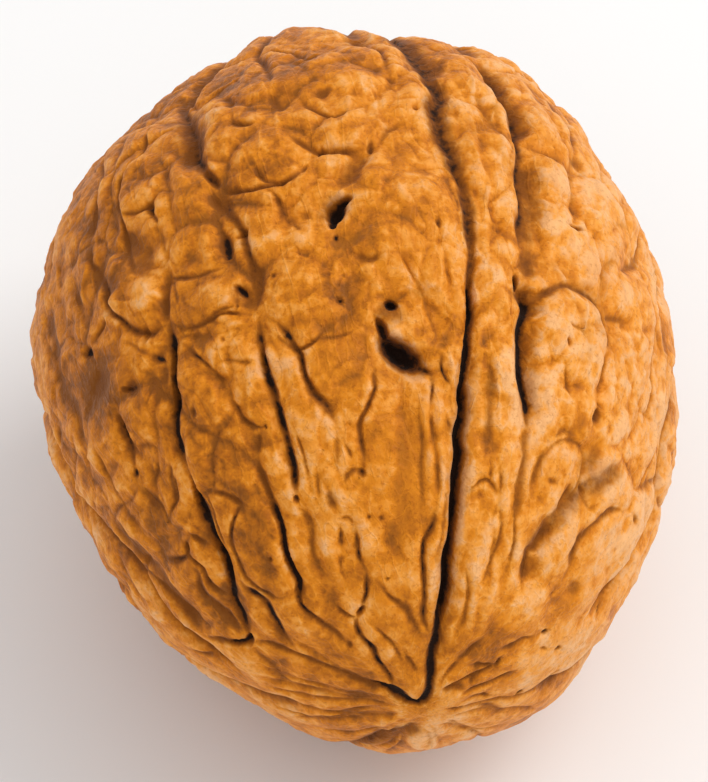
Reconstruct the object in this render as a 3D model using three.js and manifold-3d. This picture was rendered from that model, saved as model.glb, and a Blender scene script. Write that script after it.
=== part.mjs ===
import * as THREE from "three";
import { mergeVertices } from "three/addons/utils/BufferGeometryUtils.js";
import Module from "manifold-3d";

// A whole walnut in its closed shell, lying on its side on a small flat spot.
// Millimetres, +Z up, the pointed tip toward -Y and the stem end toward +Y.
// Places on the shell are given as [round, along] in degrees: "round" is the turn about
// the long axis from the upper seam, plus toward the right cheek when the tip is nearest,
// and "along" runs from 0 at the tip to 180 at the stem scar.

// Driving dimensions
const TIP_LENGTH = 22.8;
const STEM_LENGTH = 17.2;
const RIGHT_CHEEK = 15.3;
const LEFT_CHEEK = 17.2;
const SEAM_HALF_HEIGHT = 15.4;
const SEAM_LEAN = 14.2;
const REST_HEIGHT = 15.0;
const GRID = 26;
const GRID_CROWDING = 1.5;
const GROOVE_CROWDING = 0.55;

// The grid follows the seam within this many degrees of it, and not at all at the two ends
const SEAM_HOLD = 16;
const END_FREE = 3;
const END_BLEND = 14;

// The block whose top face cuts the flat spot
const UNDER_BLOCK_SIDE = 60;
const UNDER_BLOCK_HEIGHT = 10;

// Broad swells and hollows of the shell: [round, along, spread in degrees, height]
const SWELLS = [
  [235, 48, 22, -0.34],
  [122, 24, 12, 0.3],
  [200, 22, 12, 0.22],
  [78, 57, 12, 0.2],
  [54, 107, 16, -0.42],
  [26, 131, 12, 0.28],
  [322, 139, 12, 0.3],
  [256, 88, 14, 0.2],
];

// Rounded plates standing a little proud: [round, along, radius, height]
const PLATES = [
  [-10, 72, 3.0, 0.55],
  [24.5, 57, 2.8, 0.5],
  [-47, 66.5, 1.9, 0.3],
  [-37, 40, 2.0, 0.25],
  [-56, 46, 2.6, 0.25],
  [-64, 71, 2.4, 0.3],
  [-35, 92, 2.4, 0.25],
  [21, 87, 1.8, 0.25],
  [27, 73, 2.0, 0.25],
  [38, 47, 2.2, 0.25],
  [44, 66, 2.2, 0.22],
  [27, 38, 2.0, 0.2],
  [62, 40, 2.6, 0.25],
  [30, 108, 2.4, 0.2],
  [-20, 112, 2.6, 0.25],
  [-62, 100, 2.2, 0.2],
  [-98, 66, 2.6, 0.2],
  [170, 4.5, 1.1, 0.5],
  [-88, 52, 3.0, 0.2],
  [-83, 68, 2.6, 0.2],
];

// The raised rib beside the upper seam and the lips of the seam itself
const RIBS = [
  {
    width: 1.3,
    height: 0.45,
    path: [
      [8, 110], [10, 96], [10, 84], [9, 74], [7.5, 60], [7.5, 50], [9, 41],
    ],
  },
  { width: 1.2, height: 0.25, path: [[-6, 112], [-5, 96], [-3.5, 60], [-6, 40], [-8, 22]] },
  { width: 1.2, height: 0.25, path: [[3, 40], [3.5, 28], [2, 16]] },
  { width: 1.6, height: 0.3, path: [[-54, 104], [-51, 90], [-49, 78]] },
  { width: 1.5, height: 0.3, path: [[176, 20], [174, 60], [176, 110], [174, 150]] },
  { width: 1.5, height: 0.3, path: [[186, 20], [187, 60], [185, 110], [187, 150]] },
];

// The seam between the two halves, right round the nut
const UPPER_SEAM = [
  [0, 178], [-1, 150], [-2, 130], [-0.7, 120], [0.3, 105], [-0.9, 100], [0.2, 90],
  [1.6, 75], [1.7, 65], [1.2, 55], [0, 47], [-0.9, 40], [-1.6, 30], [-3, 20], [-4, 12], [-8, 7],
];
const LOWER_SEAM = [
  [184, 5], [194, 9], [196, 14], [186, 30], [181, 60], [179, 90], [182, 120], [180, 150], [180, 178],
];

// Wandering grooves between the ribs
const GROOVES = [
  {
    width: 0.8,
    depth: 0.95,
    path: [
      [14.5, 122], [15.4, 103], [14.2, 89], [13.6, 80], [12.5, 73], [12.9, 68], [11.3, 62],
      [13.6, 58], [12, 52], [13, 46], [15.2, 42], [15.3, 37], [16.4, 31.7], [17.8, 27],
    ],
  },
  {
    width: 0.7,
    depth: 0.35,
    path: [
      [13.6, 58], [19.5, 63], [25.3, 64.5], [31, 63.5], [33.5, 60], [34, 55], [33.2, 49], [33, 42],
    ],
  },
  {
    width: 0.7,
    depth: 0.6,
    path: [
      [31.5, 29.5], [30, 27], [28.7, 24.6], [26, 23.5], [27.5, 22], [30.7, 18.8],
    ],
  },
  {
    width: 0.8,
    depth: 0.7,
    path: [
      [-52, 115], [-48.3, 107], [-47, 98.5], [-44, 90], [-44, 85], [-40, 77], [-39, 69.5],
      [-40, 61.5],
    ],
  },
  {
    width: 0.7,
    depth: 0.85,
    path: [
      [-40, 61.5], [-41, 57], [-41.8, 52], [-41.6, 48], [-41.5, 44], [-42.1, 40], [-43.5, 35.7],
      [-44.7, 32.8], [-45.2, 28.7], [-48, 25],
    ],
  },
  {
    width: 0.7,
    depth: 0.5,
    path: [
      [-38.2, 58.6], [-35.6, 54.6], [-34.1, 51.3], [-34.3, 48], [-32.5, 44.5], [-31, 40],
      [-31.5, 36],
    ],
  },
  {
    width: 0.7,
    depth: 0.8,
    path: [
      [-49.7, 40], [-50.2, 37.3], [-50.7, 34.3], [-52.2, 30.8], [-55, 26.6], [-57.5, 22.5],
      [-59, 16],
    ],
  },
  {
    width: 0.75,
    depth: 1.0,
    path: [
      [-60.3, 84.5], [-58.3, 76.5], [-57.2, 67], [-57.9, 62.3], [-60, 57.5], [-61.8, 52.5],
      [-64.1, 49.7], [-65.3, 44], [-67.3, 40.2], [-69.2, 35.6], [-71.8, 31.8], [-75.9, 29.1],
      [-81.3, 26.6], [-88.8, 23.4],
    ],
  },
  {
    width: 0.75,
    depth: 0.7,
    path: [
      [-70, 91], [-69, 84], [-67.7, 75.7], [-65.8, 71.7], [-63, 67.5], [-57.4, 66],
    ],
  },
  {
    width: 0.7,
    depth: 0.7,
    path: [
      [-68, 4], [-78, 9], [-80, 13], [-82, 17], [-86, 21.8], [-88.8, 23.4], [-97.5, 29],
    ],
  },
  {
    width: 0.6,
    depth: 0.5,
    path: [
      [-60, 5], [-52, 9.7], [-49, 14.5], [-41, 17], [-35, 20], [-34.5, 22.5], [-33, 26.3],
    ],
  },
  {
    width: 0.7,
    depth: 0.5,
    path: [
      [-74.3, 59], [-77.5, 50], [-78.2, 43], [-80.5, 36.5], [-84.7, 31.2], [-88.8, 23.4],
    ],
  },
  { width: 0.8, depth: 0.4, path: [[-96, 72], [-93, 52], [-93, 40], [-95, 31], [-106, 28]] },
  { width: 0.7, depth: 0.35, path: [[-12, 42], [-15.5, 36], [-17, 29.5], [-23, 20]] },
  { width: 0.6, depth: 0.4, path: [[-19, 48], [-20.3, 44], [-25, 41], [-26, 35], [-27, 32.5]] },
  { width: 0.6, depth: 0.35, path: [[-8.3, 28], [-12.3, 23], [-14, 15], [-9, 9]] },
  { width: 0.7, depth: 0.4, path: [[-29, 95.5], [-24, 89.7], [-15, 89], [-11, 95]] },
  { width: 0.7, depth: 0.4, path: [[51, 74], [51.5, 66], [52.3, 58], [52.5, 50]] },
  { width: 0.7, depth: 0.4, path: [[42, 30], [42.5, 26.5], [46, 23]] },
  { width: 0.6, depth: 0.4, path: [[42, 11.5], [50, 14.5], [58, 17.5]] },
  { width: 0.7, depth: 1.0, path: [[-18, 54], [-14.5, 48.6], [-9, 45.5]] },
  { width: 0.7, depth: 1.0, path: [[-21, 76.5], [-23, 73.5]] },
  { width: 0.7, depth: 0.45, path: [[-22, 166], [-15, 150], [-12.5, 132], [-12, 122], [-8, 108]] },
  { width: 0.7, depth: 0.6, path: [[24, 163], [17, 142], [14.5, 122]] },
  { width: 0.8, depth: 0.6, path: [[-34, 166], [-44, 148], [-50, 130], [-52, 115]] },
  { width: 0.6, depth: 0.4, path: [[-32, 152], [-35, 133], [-31, 118], [-31, 107], [-28.5, 101]] },
  { width: 0.6, depth: 0.35, path: [[-41, 113], [-38.5, 104], [-36, 99], [-33, 98]] },
  { width: 0.6, depth: 0.4, path: [[-66, 156], [-73, 124], [-69, 106], [-70, 91]] },
  {
    width: 0.7,
    depth: 0.5,
    path: [
      [-92, 150], [-88, 122], [-91, 104], [-88, 88], [-84, 80], [-76, 72.6],
    ],
  },
  { width: 0.6, depth: 0.35, path: [[-54, 82], [-54, 74], [-50, 71], [-43.5, 64.8]] },
  { width: 0.7, depth: 0.7, path: [[-43.5, 79], [-43.2, 73], [-42.3, 65.5], [-41, 62]] },
  { width: 0.6, depth: 0.35, path: [[-31.5, 78], [-29.8, 74], [-28, 71.5]] },
  { width: 0.6, depth: 0.5, path: [[-69.8, 61.6], [-69, 60]] },
  { width: 0.9, depth: 0.35, path: [[-76, 68], [-77, 62]] },
  { width: 0.7, depth: 0.5, path: [[38, 158], [31, 134], [33, 114], [29, 98], [26, 88], [24.7, 77]] },
  {
    width: 0.6,
    depth: 0.4,
    path: [
      [56, 152], [50, 124], [45, 104], [47, 90], [44, 80], [34, 72], [32, 64],
    ],
  },
  { width: 0.6, depth: 0.35, path: [[34, 60], [41, 65], [51, 66]] },
  { width: 0.6, depth: 0.3, path: [[22.5, 38], [20.2, 34], [20, 30], [23, 24]] },
  { width: 0.7, depth: 0.3, path: [[56, 41], [60, 44], [66, 48], [74, 50]] },
  { width: 0.6, depth: 0.4, path: [[60, 9], [66, 16], [72, 19], [76, 27]] },
  { width: 0.6, depth: 0.5, path: [[20, 4], [40, 6], [57, 8.5]] },
  { width: 0.5, depth: 0.35, path: [[75, 5], [84, 9], [93, 13.3]] },
  { width: 0.6, depth: 0.4, path: [[-104, 9], [-100, 14], [-97, 19], [-91.5, 21.5]] },
  { width: 0.6, depth: 0.35, path: [[-126, 10], [-119, 14], [-118, 20], [-112, 30]] },
  { width: 0.9, depth: 0.4, path: [[0, 178], [180, 178]] },
];

// Far side grooves: the same wandering run repeated round the back and the underside
const FAR_FIRST = 70;
const FAR_STEP = 15.5;
const FAR_COUNT = 13;
const FAR_START = 26;
const FAR_START_SPREAD = 10;
const FAR_END = 152;
const FAR_END_SPREAD = 9;
const FAR_STRETCHES = 10;
const FAR_SWAY = 3.6;
const FAR_RIPPLE = 1.6;
const FAR_WIDTH = 0.8;
const FAR_DEPTH = 0.55;
const FAR_DEPTH_SPREAD = 0.2;
const BRANCH_WIDTH = 0.7;
const BRANCH_DEPTH = 0.45;

const COLOUR = 0xc48446;
const ROUGHNESS = 0.62;

const radians = THREE.MathUtils.degToRad;

function direction(round, along) {
  const a = radians(round);
  const b = radians(along);
  return new THREE.Vector3(Math.sin(b) * Math.sin(a), Math.cos(b), Math.sin(b) * Math.cos(a));
}

// Length from the middle of the nut to the smooth form, in the nut's own axes
// (x toward the right cheek, y toward the tip, z toward the upper seam).
function smoothRadius(d) {
  const cheek = d.x > 0 ? RIGHT_CHEEK : LEFT_CHEEK;
  const end = d.y > 0 ? TIP_LENGTH : STEM_LENGTH;
  let radius = 1 / Math.hypot(d.x / cheek, d.y / end, d.z / SEAM_HALF_HEIGHT);
  for (const [round, along, spread, height] of SWELLS) {
    const angle = THREE.MathUtils.radToDeg(d.angleTo(direction(round, along)));
    radius += height * Math.exp(-((angle / spread) ** 2));
  }
  return radius;
}

function onShell([round, along]) {
  const d = direction(round, along);
  return d.multiplyScalar(smoothRadius(d));
}

// One long wandering groove on the far side, with a short branch every second time
function farGroove(index) {
  const path = [];
  const start = FAR_START + FAR_START_SPREAD * Math.sin(index * 2.1);
  const end = FAR_END + FAR_END_SPREAD * Math.cos(index * 1.7);
  for (let step = 0; step <= FAR_STRETCHES; step += 1) {
    const along = start + ((end - start) * step) / FAR_STRETCHES;
    const sway = FAR_SWAY * Math.sin(along * 0.075 + index * 1.9);
    const ripple = FAR_RIPPLE * Math.sin(along * 0.17 + index);
    path.push([FAR_FIRST + FAR_STEP * index + sway + ripple, along]);
  }
  return { width: FAR_WIDTH, depth: FAR_DEPTH + FAR_DEPTH_SPREAD * Math.sin(index * 2.7), path };
}

function farBranch(index) {
  const round = FAR_FIRST + FAR_STEP * index;
  const along = 70 + 28 * Math.sin(index * 2.4);
  const path = [
    [round, along],
    [round + 7, along + 9],
    [round + FAR_STEP, along + 12],
  ];
  return { width: BRANCH_WIDTH, depth: BRANCH_DEPTH, path };
}

function farGrooves() {
  const far = [];
  for (let index = 0; index < FAR_COUNT; index += 1) {
    far.push(farGroove(index));
    far.push(farBranch(index));
  }
  return far;
}

function measured(list) {
  return list.map((line) => ({ ...line, points: line.path.map(onShell) }));
}

const stretch = new THREE.Line3();

function nearestOn(points, place) {
  let best = points[0];
  const found = new THREE.Vector3();
  for (let index = 1; index < points.length; index += 1) {
    stretch.set(points[index - 1], points[index]);
    stretch.closestPointToPoint(place, true, found);
    if (found.distanceTo(place) < best.distanceTo(place)) {
      best = found.clone();
    }
  }
  return best;
}

function distanceTo(points, place) {
  return nearestOn(points, place).distanceTo(place);
}

// The grid draws in toward the nearest groove, so that the groove's floor has corners along it
function drawnIn(place, grooves) {
  let best = null;
  for (const groove of grooves) {
    const found = nearestOn(groove.points, place);
    if (best === null || found.distanceTo(place) < best.distanceTo(place)) {
      best = found;
    }
  }
  const share = 1 - Math.exp(-((best.distanceTo(place) / GROOVE_CROWDING) ** 2));
  return best.lerp(place, share).normalize();
}

function bell(reach) {
  return Math.exp(-(reach ** 2));
}

// Height of the ribs and plates less the deepest groove at one place on the shell
function relief(place, grooves, ribs, plates) {
  let raised = 0;
  for (const rib of ribs) {
    raised = Math.max(raised, rib.height * bell(distanceTo(rib.points, place) / rib.width));
  }
  for (const plate of plates) {
    const reach = place.distanceTo(plate.centre) / plate.radius;
    raised = Math.max(raised, plate.height * Math.exp(-(reach ** 4)));
  }
  let sunk = 0;
  for (const groove of grooves) {
    sunk = Math.max(sunk, groove.depth * bell(distanceTo(groove.points, place) / groove.width));
  }
  return raised - sunk;
}

// How far the seam strays from straight at a given place along the nut
function seamDrift(path, along, straight) {
  const run = [...path].sort((a, b) => a[1] - b[1]);
  for (let index = 1; index < run.length; index += 1) {
    const [before, after] = [run[index - 1], run[index]];
    if (along <= after[1]) {
      const share = THREE.MathUtils.clamp((along - before[1]) / (after[1] - before[1]), 0, 1);
      return before[0] + (after[0] - before[0]) * share - straight;
    }
  }
  return 0;
}

// Rows of the grid crowd toward the seam and are bent to follow it
function gridDirection(x, y, z) {
  const crowded = Math.sign(x) * Math.abs(x) ** GRID_CROWDING;
  const [a, b, c] = [crowded, y, z].map((value) => Math.tan((value * Math.PI) / 4));
  const d = new THREE.Vector3(a, b, c).normalize();
  const along = THREE.MathUtils.radToDeg(Math.acos(d.y));
  if (along < END_FREE || along > 180 - END_FREE) {
    return d;
  }
  const round = THREE.MathUtils.radToDeg(Math.atan2(d.x, d.z));
  const fromLower = round > 0 ? round - 180 : round + 180;
  const near = Math.exp(-((round / SEAM_HOLD) ** 2));
  const nearLower = Math.exp(-((fromLower / SEAM_HOLD) ** 2));
  const fade = THREE.MathUtils.smoothstep(along, END_FREE, END_BLEND);
  const shift = near * seamDrift(UPPER_SEAM, along, 0) + nearLower * seamDrift(LOWER_SEAM, along, 180);
  return direction(round + fade * shift, along);
}

function shellGeometry() {
  const grooves = measured([...GROOVES, ...farGrooves()]);
  const seams = measured([
    { width: 0.42, depth: 0.75, path: UPPER_SEAM },
    { width: 0.42, depth: 0.6, path: LOWER_SEAM },
  ]);
  const ribs = measured(RIBS);
  const plates = PLATES.map(([round, along, radius, height]) => {
    const centre = onShell([round, along]);
    return { centre, radius, height };
  });
  const box = new THREE.BoxGeometry(2, 2, 2, GRID, GRID, GRID);
  box.deleteAttribute("normal");
  box.deleteAttribute("uv");
  const shell = mergeVertices(box);
  const places = shell.getAttribute("position");
  for (let index = 0; index < places.count; index += 1) {
    const even = gridDirection(places.getX(index), places.getY(index), places.getZ(index));
    const d = drawnIn(even.clone().multiplyScalar(smoothRadius(even)), grooves);
    const base = d.clone().multiplyScalar(smoothRadius(d));
    const radius = base.length() + relief(base, [...seams, ...grooves], ribs, plates);
    places.setXYZ(index, d.x * radius, d.y * radius, d.z * radius);
  }
  // From the nut's own axes to the way it lies: the tip to -Y, the seam leaning to +X.
  // The step mirrors the form once, so the corners of every triangle swap to keep it facing out.
  const lean = radians(SEAM_LEAN);
  for (let index = 0; index < places.count; index += 1) {
    const [across, tip, seam] = [places.getX(index), places.getY(index), places.getZ(index)];
    const x = across * Math.cos(lean) + seam * Math.sin(lean);
    const z = seam * Math.cos(lean) - across * Math.sin(lean);
    places.setXYZ(index, x, -tip, z);
  }
  const corners = shell.getIndex();
  for (let index = 0; index < corners.count; index += 3) {
    const second = corners.getX(index + 1);
    corners.setX(index + 1, corners.getX(index + 2));
    corners.setX(index + 2, second);
  }
  return shell;
}

function toSolid(wasm, geometry) {
  const bare = geometry.clone();
  bare.deleteAttribute("normal");
  bare.deleteAttribute("uv");
  const merged = mergeVertices(bare);
  const mesh = new wasm.Mesh({
    numProp: 3,
    vertProperties: new Float32Array(merged.getAttribute("position").array),
    triVerts: new Uint32Array(merged.getIndex().array),
  });
  mesh.merge();
  return new wasm.Manifold(mesh);
}

function toGeometry(solid) {
  const mesh = solid.getMesh();
  const geometry = new THREE.BufferGeometry();
  geometry.setAttribute("position", new THREE.BufferAttribute(new Float32Array(mesh.vertProperties), 3));
  geometry.setIndex(new THREE.BufferAttribute(new Uint32Array(mesh.triVerts), 1));
  geometry.computeVertexNormals();
  return geometry;
}

const wasm = await Module();
wasm.setup();

// The flat spot worn on the underside is a slice taken off by a block below the nut.
const underBlock = new THREE.BoxGeometry(UNDER_BLOCK_SIDE, UNDER_BLOCK_SIDE, UNDER_BLOCK_HEIGHT);
underBlock.translate(0, 0, -REST_HEIGHT - UNDER_BLOCK_HEIGHT / 2);
const rested = toGeometry(toSolid(wasm, shellGeometry()).subtract(toSolid(wasm, underBlock)));
rested.computeBoundingBox();
const middle = rested.boundingBox.getCenter(new THREE.Vector3());
rested.translate(-middle.x, -middle.y, REST_HEIGHT);

const walnut = new THREE.Mesh(
  rested,
  new THREE.MeshStandardMaterial({ color: COLOUR, roughness: ROUGHNESS, metalness: 0 }),
);
walnut.name = "walnut";

const group = new THREE.Group();
group.name = "walnut_in_shell";
group.add(walnut);

export default group;
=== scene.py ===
"""A whole walnut in its shell, lying on its side on a pale floor, under soft studio light.

Places on the shell are given in degrees as (round, along). Round is the turn about the long
axis from the upper seam, plus toward the right cheek when the tip is nearest. Along runs from
0 at the tip to 180 at the stem scar.
"""

import logging
import math
from dataclasses import dataclass, field
from enum import Enum
from typing import Iterable, Sequence

import bpy
import numpy as np
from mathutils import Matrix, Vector


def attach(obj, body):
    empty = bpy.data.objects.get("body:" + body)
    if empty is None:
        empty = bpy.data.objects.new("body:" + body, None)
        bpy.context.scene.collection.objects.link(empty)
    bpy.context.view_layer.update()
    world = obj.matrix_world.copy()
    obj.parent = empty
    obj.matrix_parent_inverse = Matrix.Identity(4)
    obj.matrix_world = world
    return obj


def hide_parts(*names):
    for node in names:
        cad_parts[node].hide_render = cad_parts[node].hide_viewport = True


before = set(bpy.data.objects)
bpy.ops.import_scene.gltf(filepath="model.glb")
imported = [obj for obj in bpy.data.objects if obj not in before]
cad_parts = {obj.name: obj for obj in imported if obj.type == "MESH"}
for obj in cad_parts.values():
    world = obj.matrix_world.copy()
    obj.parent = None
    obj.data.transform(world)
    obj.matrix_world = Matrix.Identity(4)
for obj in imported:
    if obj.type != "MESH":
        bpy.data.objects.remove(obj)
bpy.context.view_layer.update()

MM = 0.001
MEAN_RADIUS = 18.0
LOG = logging.getLogger("walnut")

Place = tuple[float, float]
Array = np.ndarray
Colour = tuple[float, float, float]


def directions(places: Sequence[Place] | Array) -> Array:
    """Turns places on the shell into unit vectors in the nut's own axes.

    Args:
        places: Pairs of (round, along) in degrees.

    Returns:
        One unit vector a row: x to the right cheek, y to the tip, z to the upper seam.
    """
    turn = np.radians(np.asarray(places, float).reshape(-1, 2))
    round_, along = turn[:, 0], turn[:, 1]
    ring = np.sin(along)
    return np.stack([ring * np.sin(round_), np.cos(along), ring * np.cos(round_)], axis=1)


def smoothstep(value: Array, low: float, high: float) -> Array:
    """Rises smoothly from 0 at low to 1 at high."""
    share = np.clip((value - low) / (high - low), 0.0, 1.0)
    return share * share * (3.0 - 2.0 * share)


@dataclass
class Grain:
    """Seeded noise in space, the same on every run."""

    seed: int
    gain: float = 1.6
    layer_shift: float = 17.3
    cell_jitter: float = 0.42
    table: Array = field(init=False)
    slopes: Array = field(init=False)

    def __post_init__(self) -> None:
        """Shuffles the lattice and draws a slope for each of its corners."""
        rng = np.random.default_rng(self.seed)
        self.table = rng.permutation(256)
        slopes = rng.normal(size=(256, 3))
        self.slopes = slopes / np.linalg.norm(slopes, axis=1)[:, None]

    def _corner(self, cell: Array) -> Array:
        """Looks a lattice corner up in the table.

        Args:
            cell: The corner's three whole numbers, one corner a row.

        Returns:
            One entry of the table for each corner, from 0 to 255.
        """
        first = self.table[cell[:, 0] & 255]
        second = self.table[(first + cell[:, 1]) & 255]
        return self.table[(second + cell[:, 2]) & 255]

    def smooth(self, points: Array, size: float) -> Array:
        """Samples smooth noise, roughly from -1 to 1.

        Args:
            points: Places in millimetres, one a row.
            size: Width of a lump in millimetres.

        Returns:
            One value for each point.
        """
        place = points / size
        cell = np.floor(place).astype(int)
        inside = place - cell
        fade = inside**3 * (inside * (inside * 6.0 - 15.0) + 10.0)
        total = np.zeros(len(points))
        for corner in np.ndindex(2, 2, 2):
            offset = np.array(corner)
            slope = self.slopes[self._corner(cell + offset)]
            weight = np.prod(np.where(offset == 1, fade, 1.0 - fade), axis=1)
            total += weight * np.einsum("ij,ij->i", slope, inside - offset)
        return total * self.gain

    def layered(self, points: Array, size: float, layers: int) -> Array:
        """Adds finer and finer noise, each layer half the size and strength of the last.

        Args:
            points: Places in millimetres, one a row.
            size: Width of the first layer's lumps in millimetres.
            layers: How many layers are added.

        Returns:
            One value for each point.
        """
        total = np.zeros(len(points))
        for layer in range(layers):
            total += self.smooth(points + self.layer_shift * layer, size / 2**layer) / 2**layer
        return total

    def cells(self, points: Array, size: float) -> tuple[Array, Array]:
        """Splits space into irregular cells, as a crackled skin is split into plates.

        Args:
            points: Places in millimetres, one a row.
            size: Typical width of a cell in millimetres.

        Returns:
            How far each point is from its cell's edge, in cell widths, and a number from
            0 to 1 that is the same all over a cell.
        """
        place = points / size
        home = np.floor(place).astype(int)
        nearest = np.full(len(points), np.inf)
        second = np.full(len(points), np.inf)
        owner = np.zeros(len(points))
        for step in np.ndindex(3, 3, 3):
            cell = home + np.array(step) - 1
            entry = self._corner(cell)
            seed = cell + 0.5 + self.cell_jitter * self.slopes[entry]
            gap = np.linalg.norm(place - seed, axis=1)
            closer = gap < nearest
            second = np.where(closer, nearest, np.minimum(second, gap))
            owner = np.where(closer, entry / 255.0, owner)
            nearest = np.where(closer, gap, nearest)
        return second - nearest, owner


@dataclass(frozen=True)
class Swell:
    """A broad swell, or a hollow where the height is negative."""

    place: Place
    spread: float
    height: float


@dataclass
class ShellForm:
    """The smooth egg that the wrinkles are raised and sunk from. Millimetres."""

    tip_length: float = 22.8
    stem_length: float = 17.2
    right_cheek: float = 15.3
    left_cheek: float = 17.2
    seam_half_height: float = 15.4
    seam_lean: float = 14.2
    centre: tuple[float, float, float] = (1.005, 3.039, 15.0)
    grain_radius: float = 15.5
    grain_length: float = 21.0
    grain_taper: float = 0.55
    swells: tuple[Swell, ...] = (
        Swell((235, 48), 22, -0.34),
        Swell((122, 24), 12, 0.30),
        Swell((200, 22), 12, 0.22),
        Swell((78, 57), 12, 0.20),
        Swell((54, 107), 16, -0.42),
        Swell((26, 131), 12, 0.28),
        Swell((322, 139), 12, 0.30),
        Swell((256, 88), 14, 0.20),
        Swell((308, 124), 16, -0.70),
        Swell((330, 143), 9, 0.36),
        Swell((217, 29), 10, -0.45),
    )

    def radius(self, towards: Array) -> Array:
        """Measures the smooth form.

        Args:
            towards: Unit vectors in the nut's own axes.

        Returns:
            The distance from the middle to the surface in each direction, in millimetres.
        """
        cheek = np.where(towards[:, 0] > 0, self.right_cheek, self.left_cheek)
        end = np.where(towards[:, 1] > 0, self.tip_length, self.stem_length)
        scaled = np.stack(
            [towards[:, 0] / cheek, towards[:, 1] / end, towards[:, 2] / self.seam_half_height],
            axis=1,
        )
        radius = 1.0 / np.linalg.norm(scaled, axis=1)
        for swell in self.swells:
            facing = np.clip(towards @ directions([swell.place])[0], -1.0, 1.0)
            angle = np.degrees(np.arccos(facing))
            radius += swell.height * np.exp(-((angle / swell.spread) ** 2))
        return radius

    def surface(self, towards: Array) -> Array:
        """Gives the point of the smooth form in each direction."""
        return towards * self.radius(towards)[:, None]

    def run_of_grain(self, towards: Array) -> Array:
        """Lays the shell out so that a pattern on it runs from tip to stem.

        Args:
            towards: Unit vectors in the nut's own axes.

        Returns:
            Points whose first and last numbers go round the nut and whose middle one goes
            along it, in millimetres. Rings shrink slowly toward the ends, so a pattern
            keeps its strands there and narrows them.
        """
        along = np.arccos(np.clip(towards[:, 1], -1.0, 1.0))
        ring = np.sin(along)
        shrink = self.grain_radius * ring**self.grain_taper / np.maximum(ring, 1e-6)
        length = self.grain_length * along
        return np.stack([towards[:, 0] * shrink, length, towards[:, 2] * shrink], axis=1)

    def to_row(self, points: Array) -> Array:
        """Moves points from the nut's own axes into the frame that the whole part is built in.

        Args:
            points: Places in the nut's own axes, in millimetres.

        Returns:
            The same places in the shared frame, in metres.
        """
        lean = math.radians(self.seam_lean)
        across, tip, seam = points[:, 0], points[:, 1], points[:, 2]
        turned = np.stack(
            [
                across * math.cos(lean) + seam * math.sin(lean),
                -tip,
                seam * math.cos(lean) - across * math.sin(lean),
            ],
            axis=1,
        )
        return (turned + np.array(self.centre)) * MM


class Cut(Enum):
    """How a groove's sides fall: the power that its distance is raised to."""

    CRACK = 4.0
    GROOVE = 1.7
    VALLEY = 2.2


@dataclass(frozen=True)
class Groove:
    """A sunk line. Width is half its breadth and dark is how dark its floor is painted, 0 to 1: partly its
    own brown, partly painted shade.
    """

    cut: Cut
    width: float
    depth: float
    dark: float
    path: tuple[Place, ...]


@dataclass(frozen=True)
class Pit:
    """A hole painted dark, partly its own brown and partly painted shade. Length and width are half its
    size; turn leans its length off the meridian.
    """

    place: Place
    length: float
    width: float
    turn: float
    depth: float
    dark: float


@dataclass(frozen=True)
class Rib:
    """A raised line."""

    width: float
    height: float
    path: tuple[Place, ...]


@dataclass(frozen=True)
class Plate:
    """A rounded plate that stands proud of the shell."""

    place: Place
    size: float
    height: float
    stretch: float = 1.0


@dataclass(frozen=True)
class Patch:
    """A patch of different colour: its place, its size in millimetres and its strength."""

    place: Place
    size: float
    strength: float


CRACK, GROOVE, VALLEY = Cut.CRACK, Cut.GROOVE, Cut.VALLEY

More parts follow.
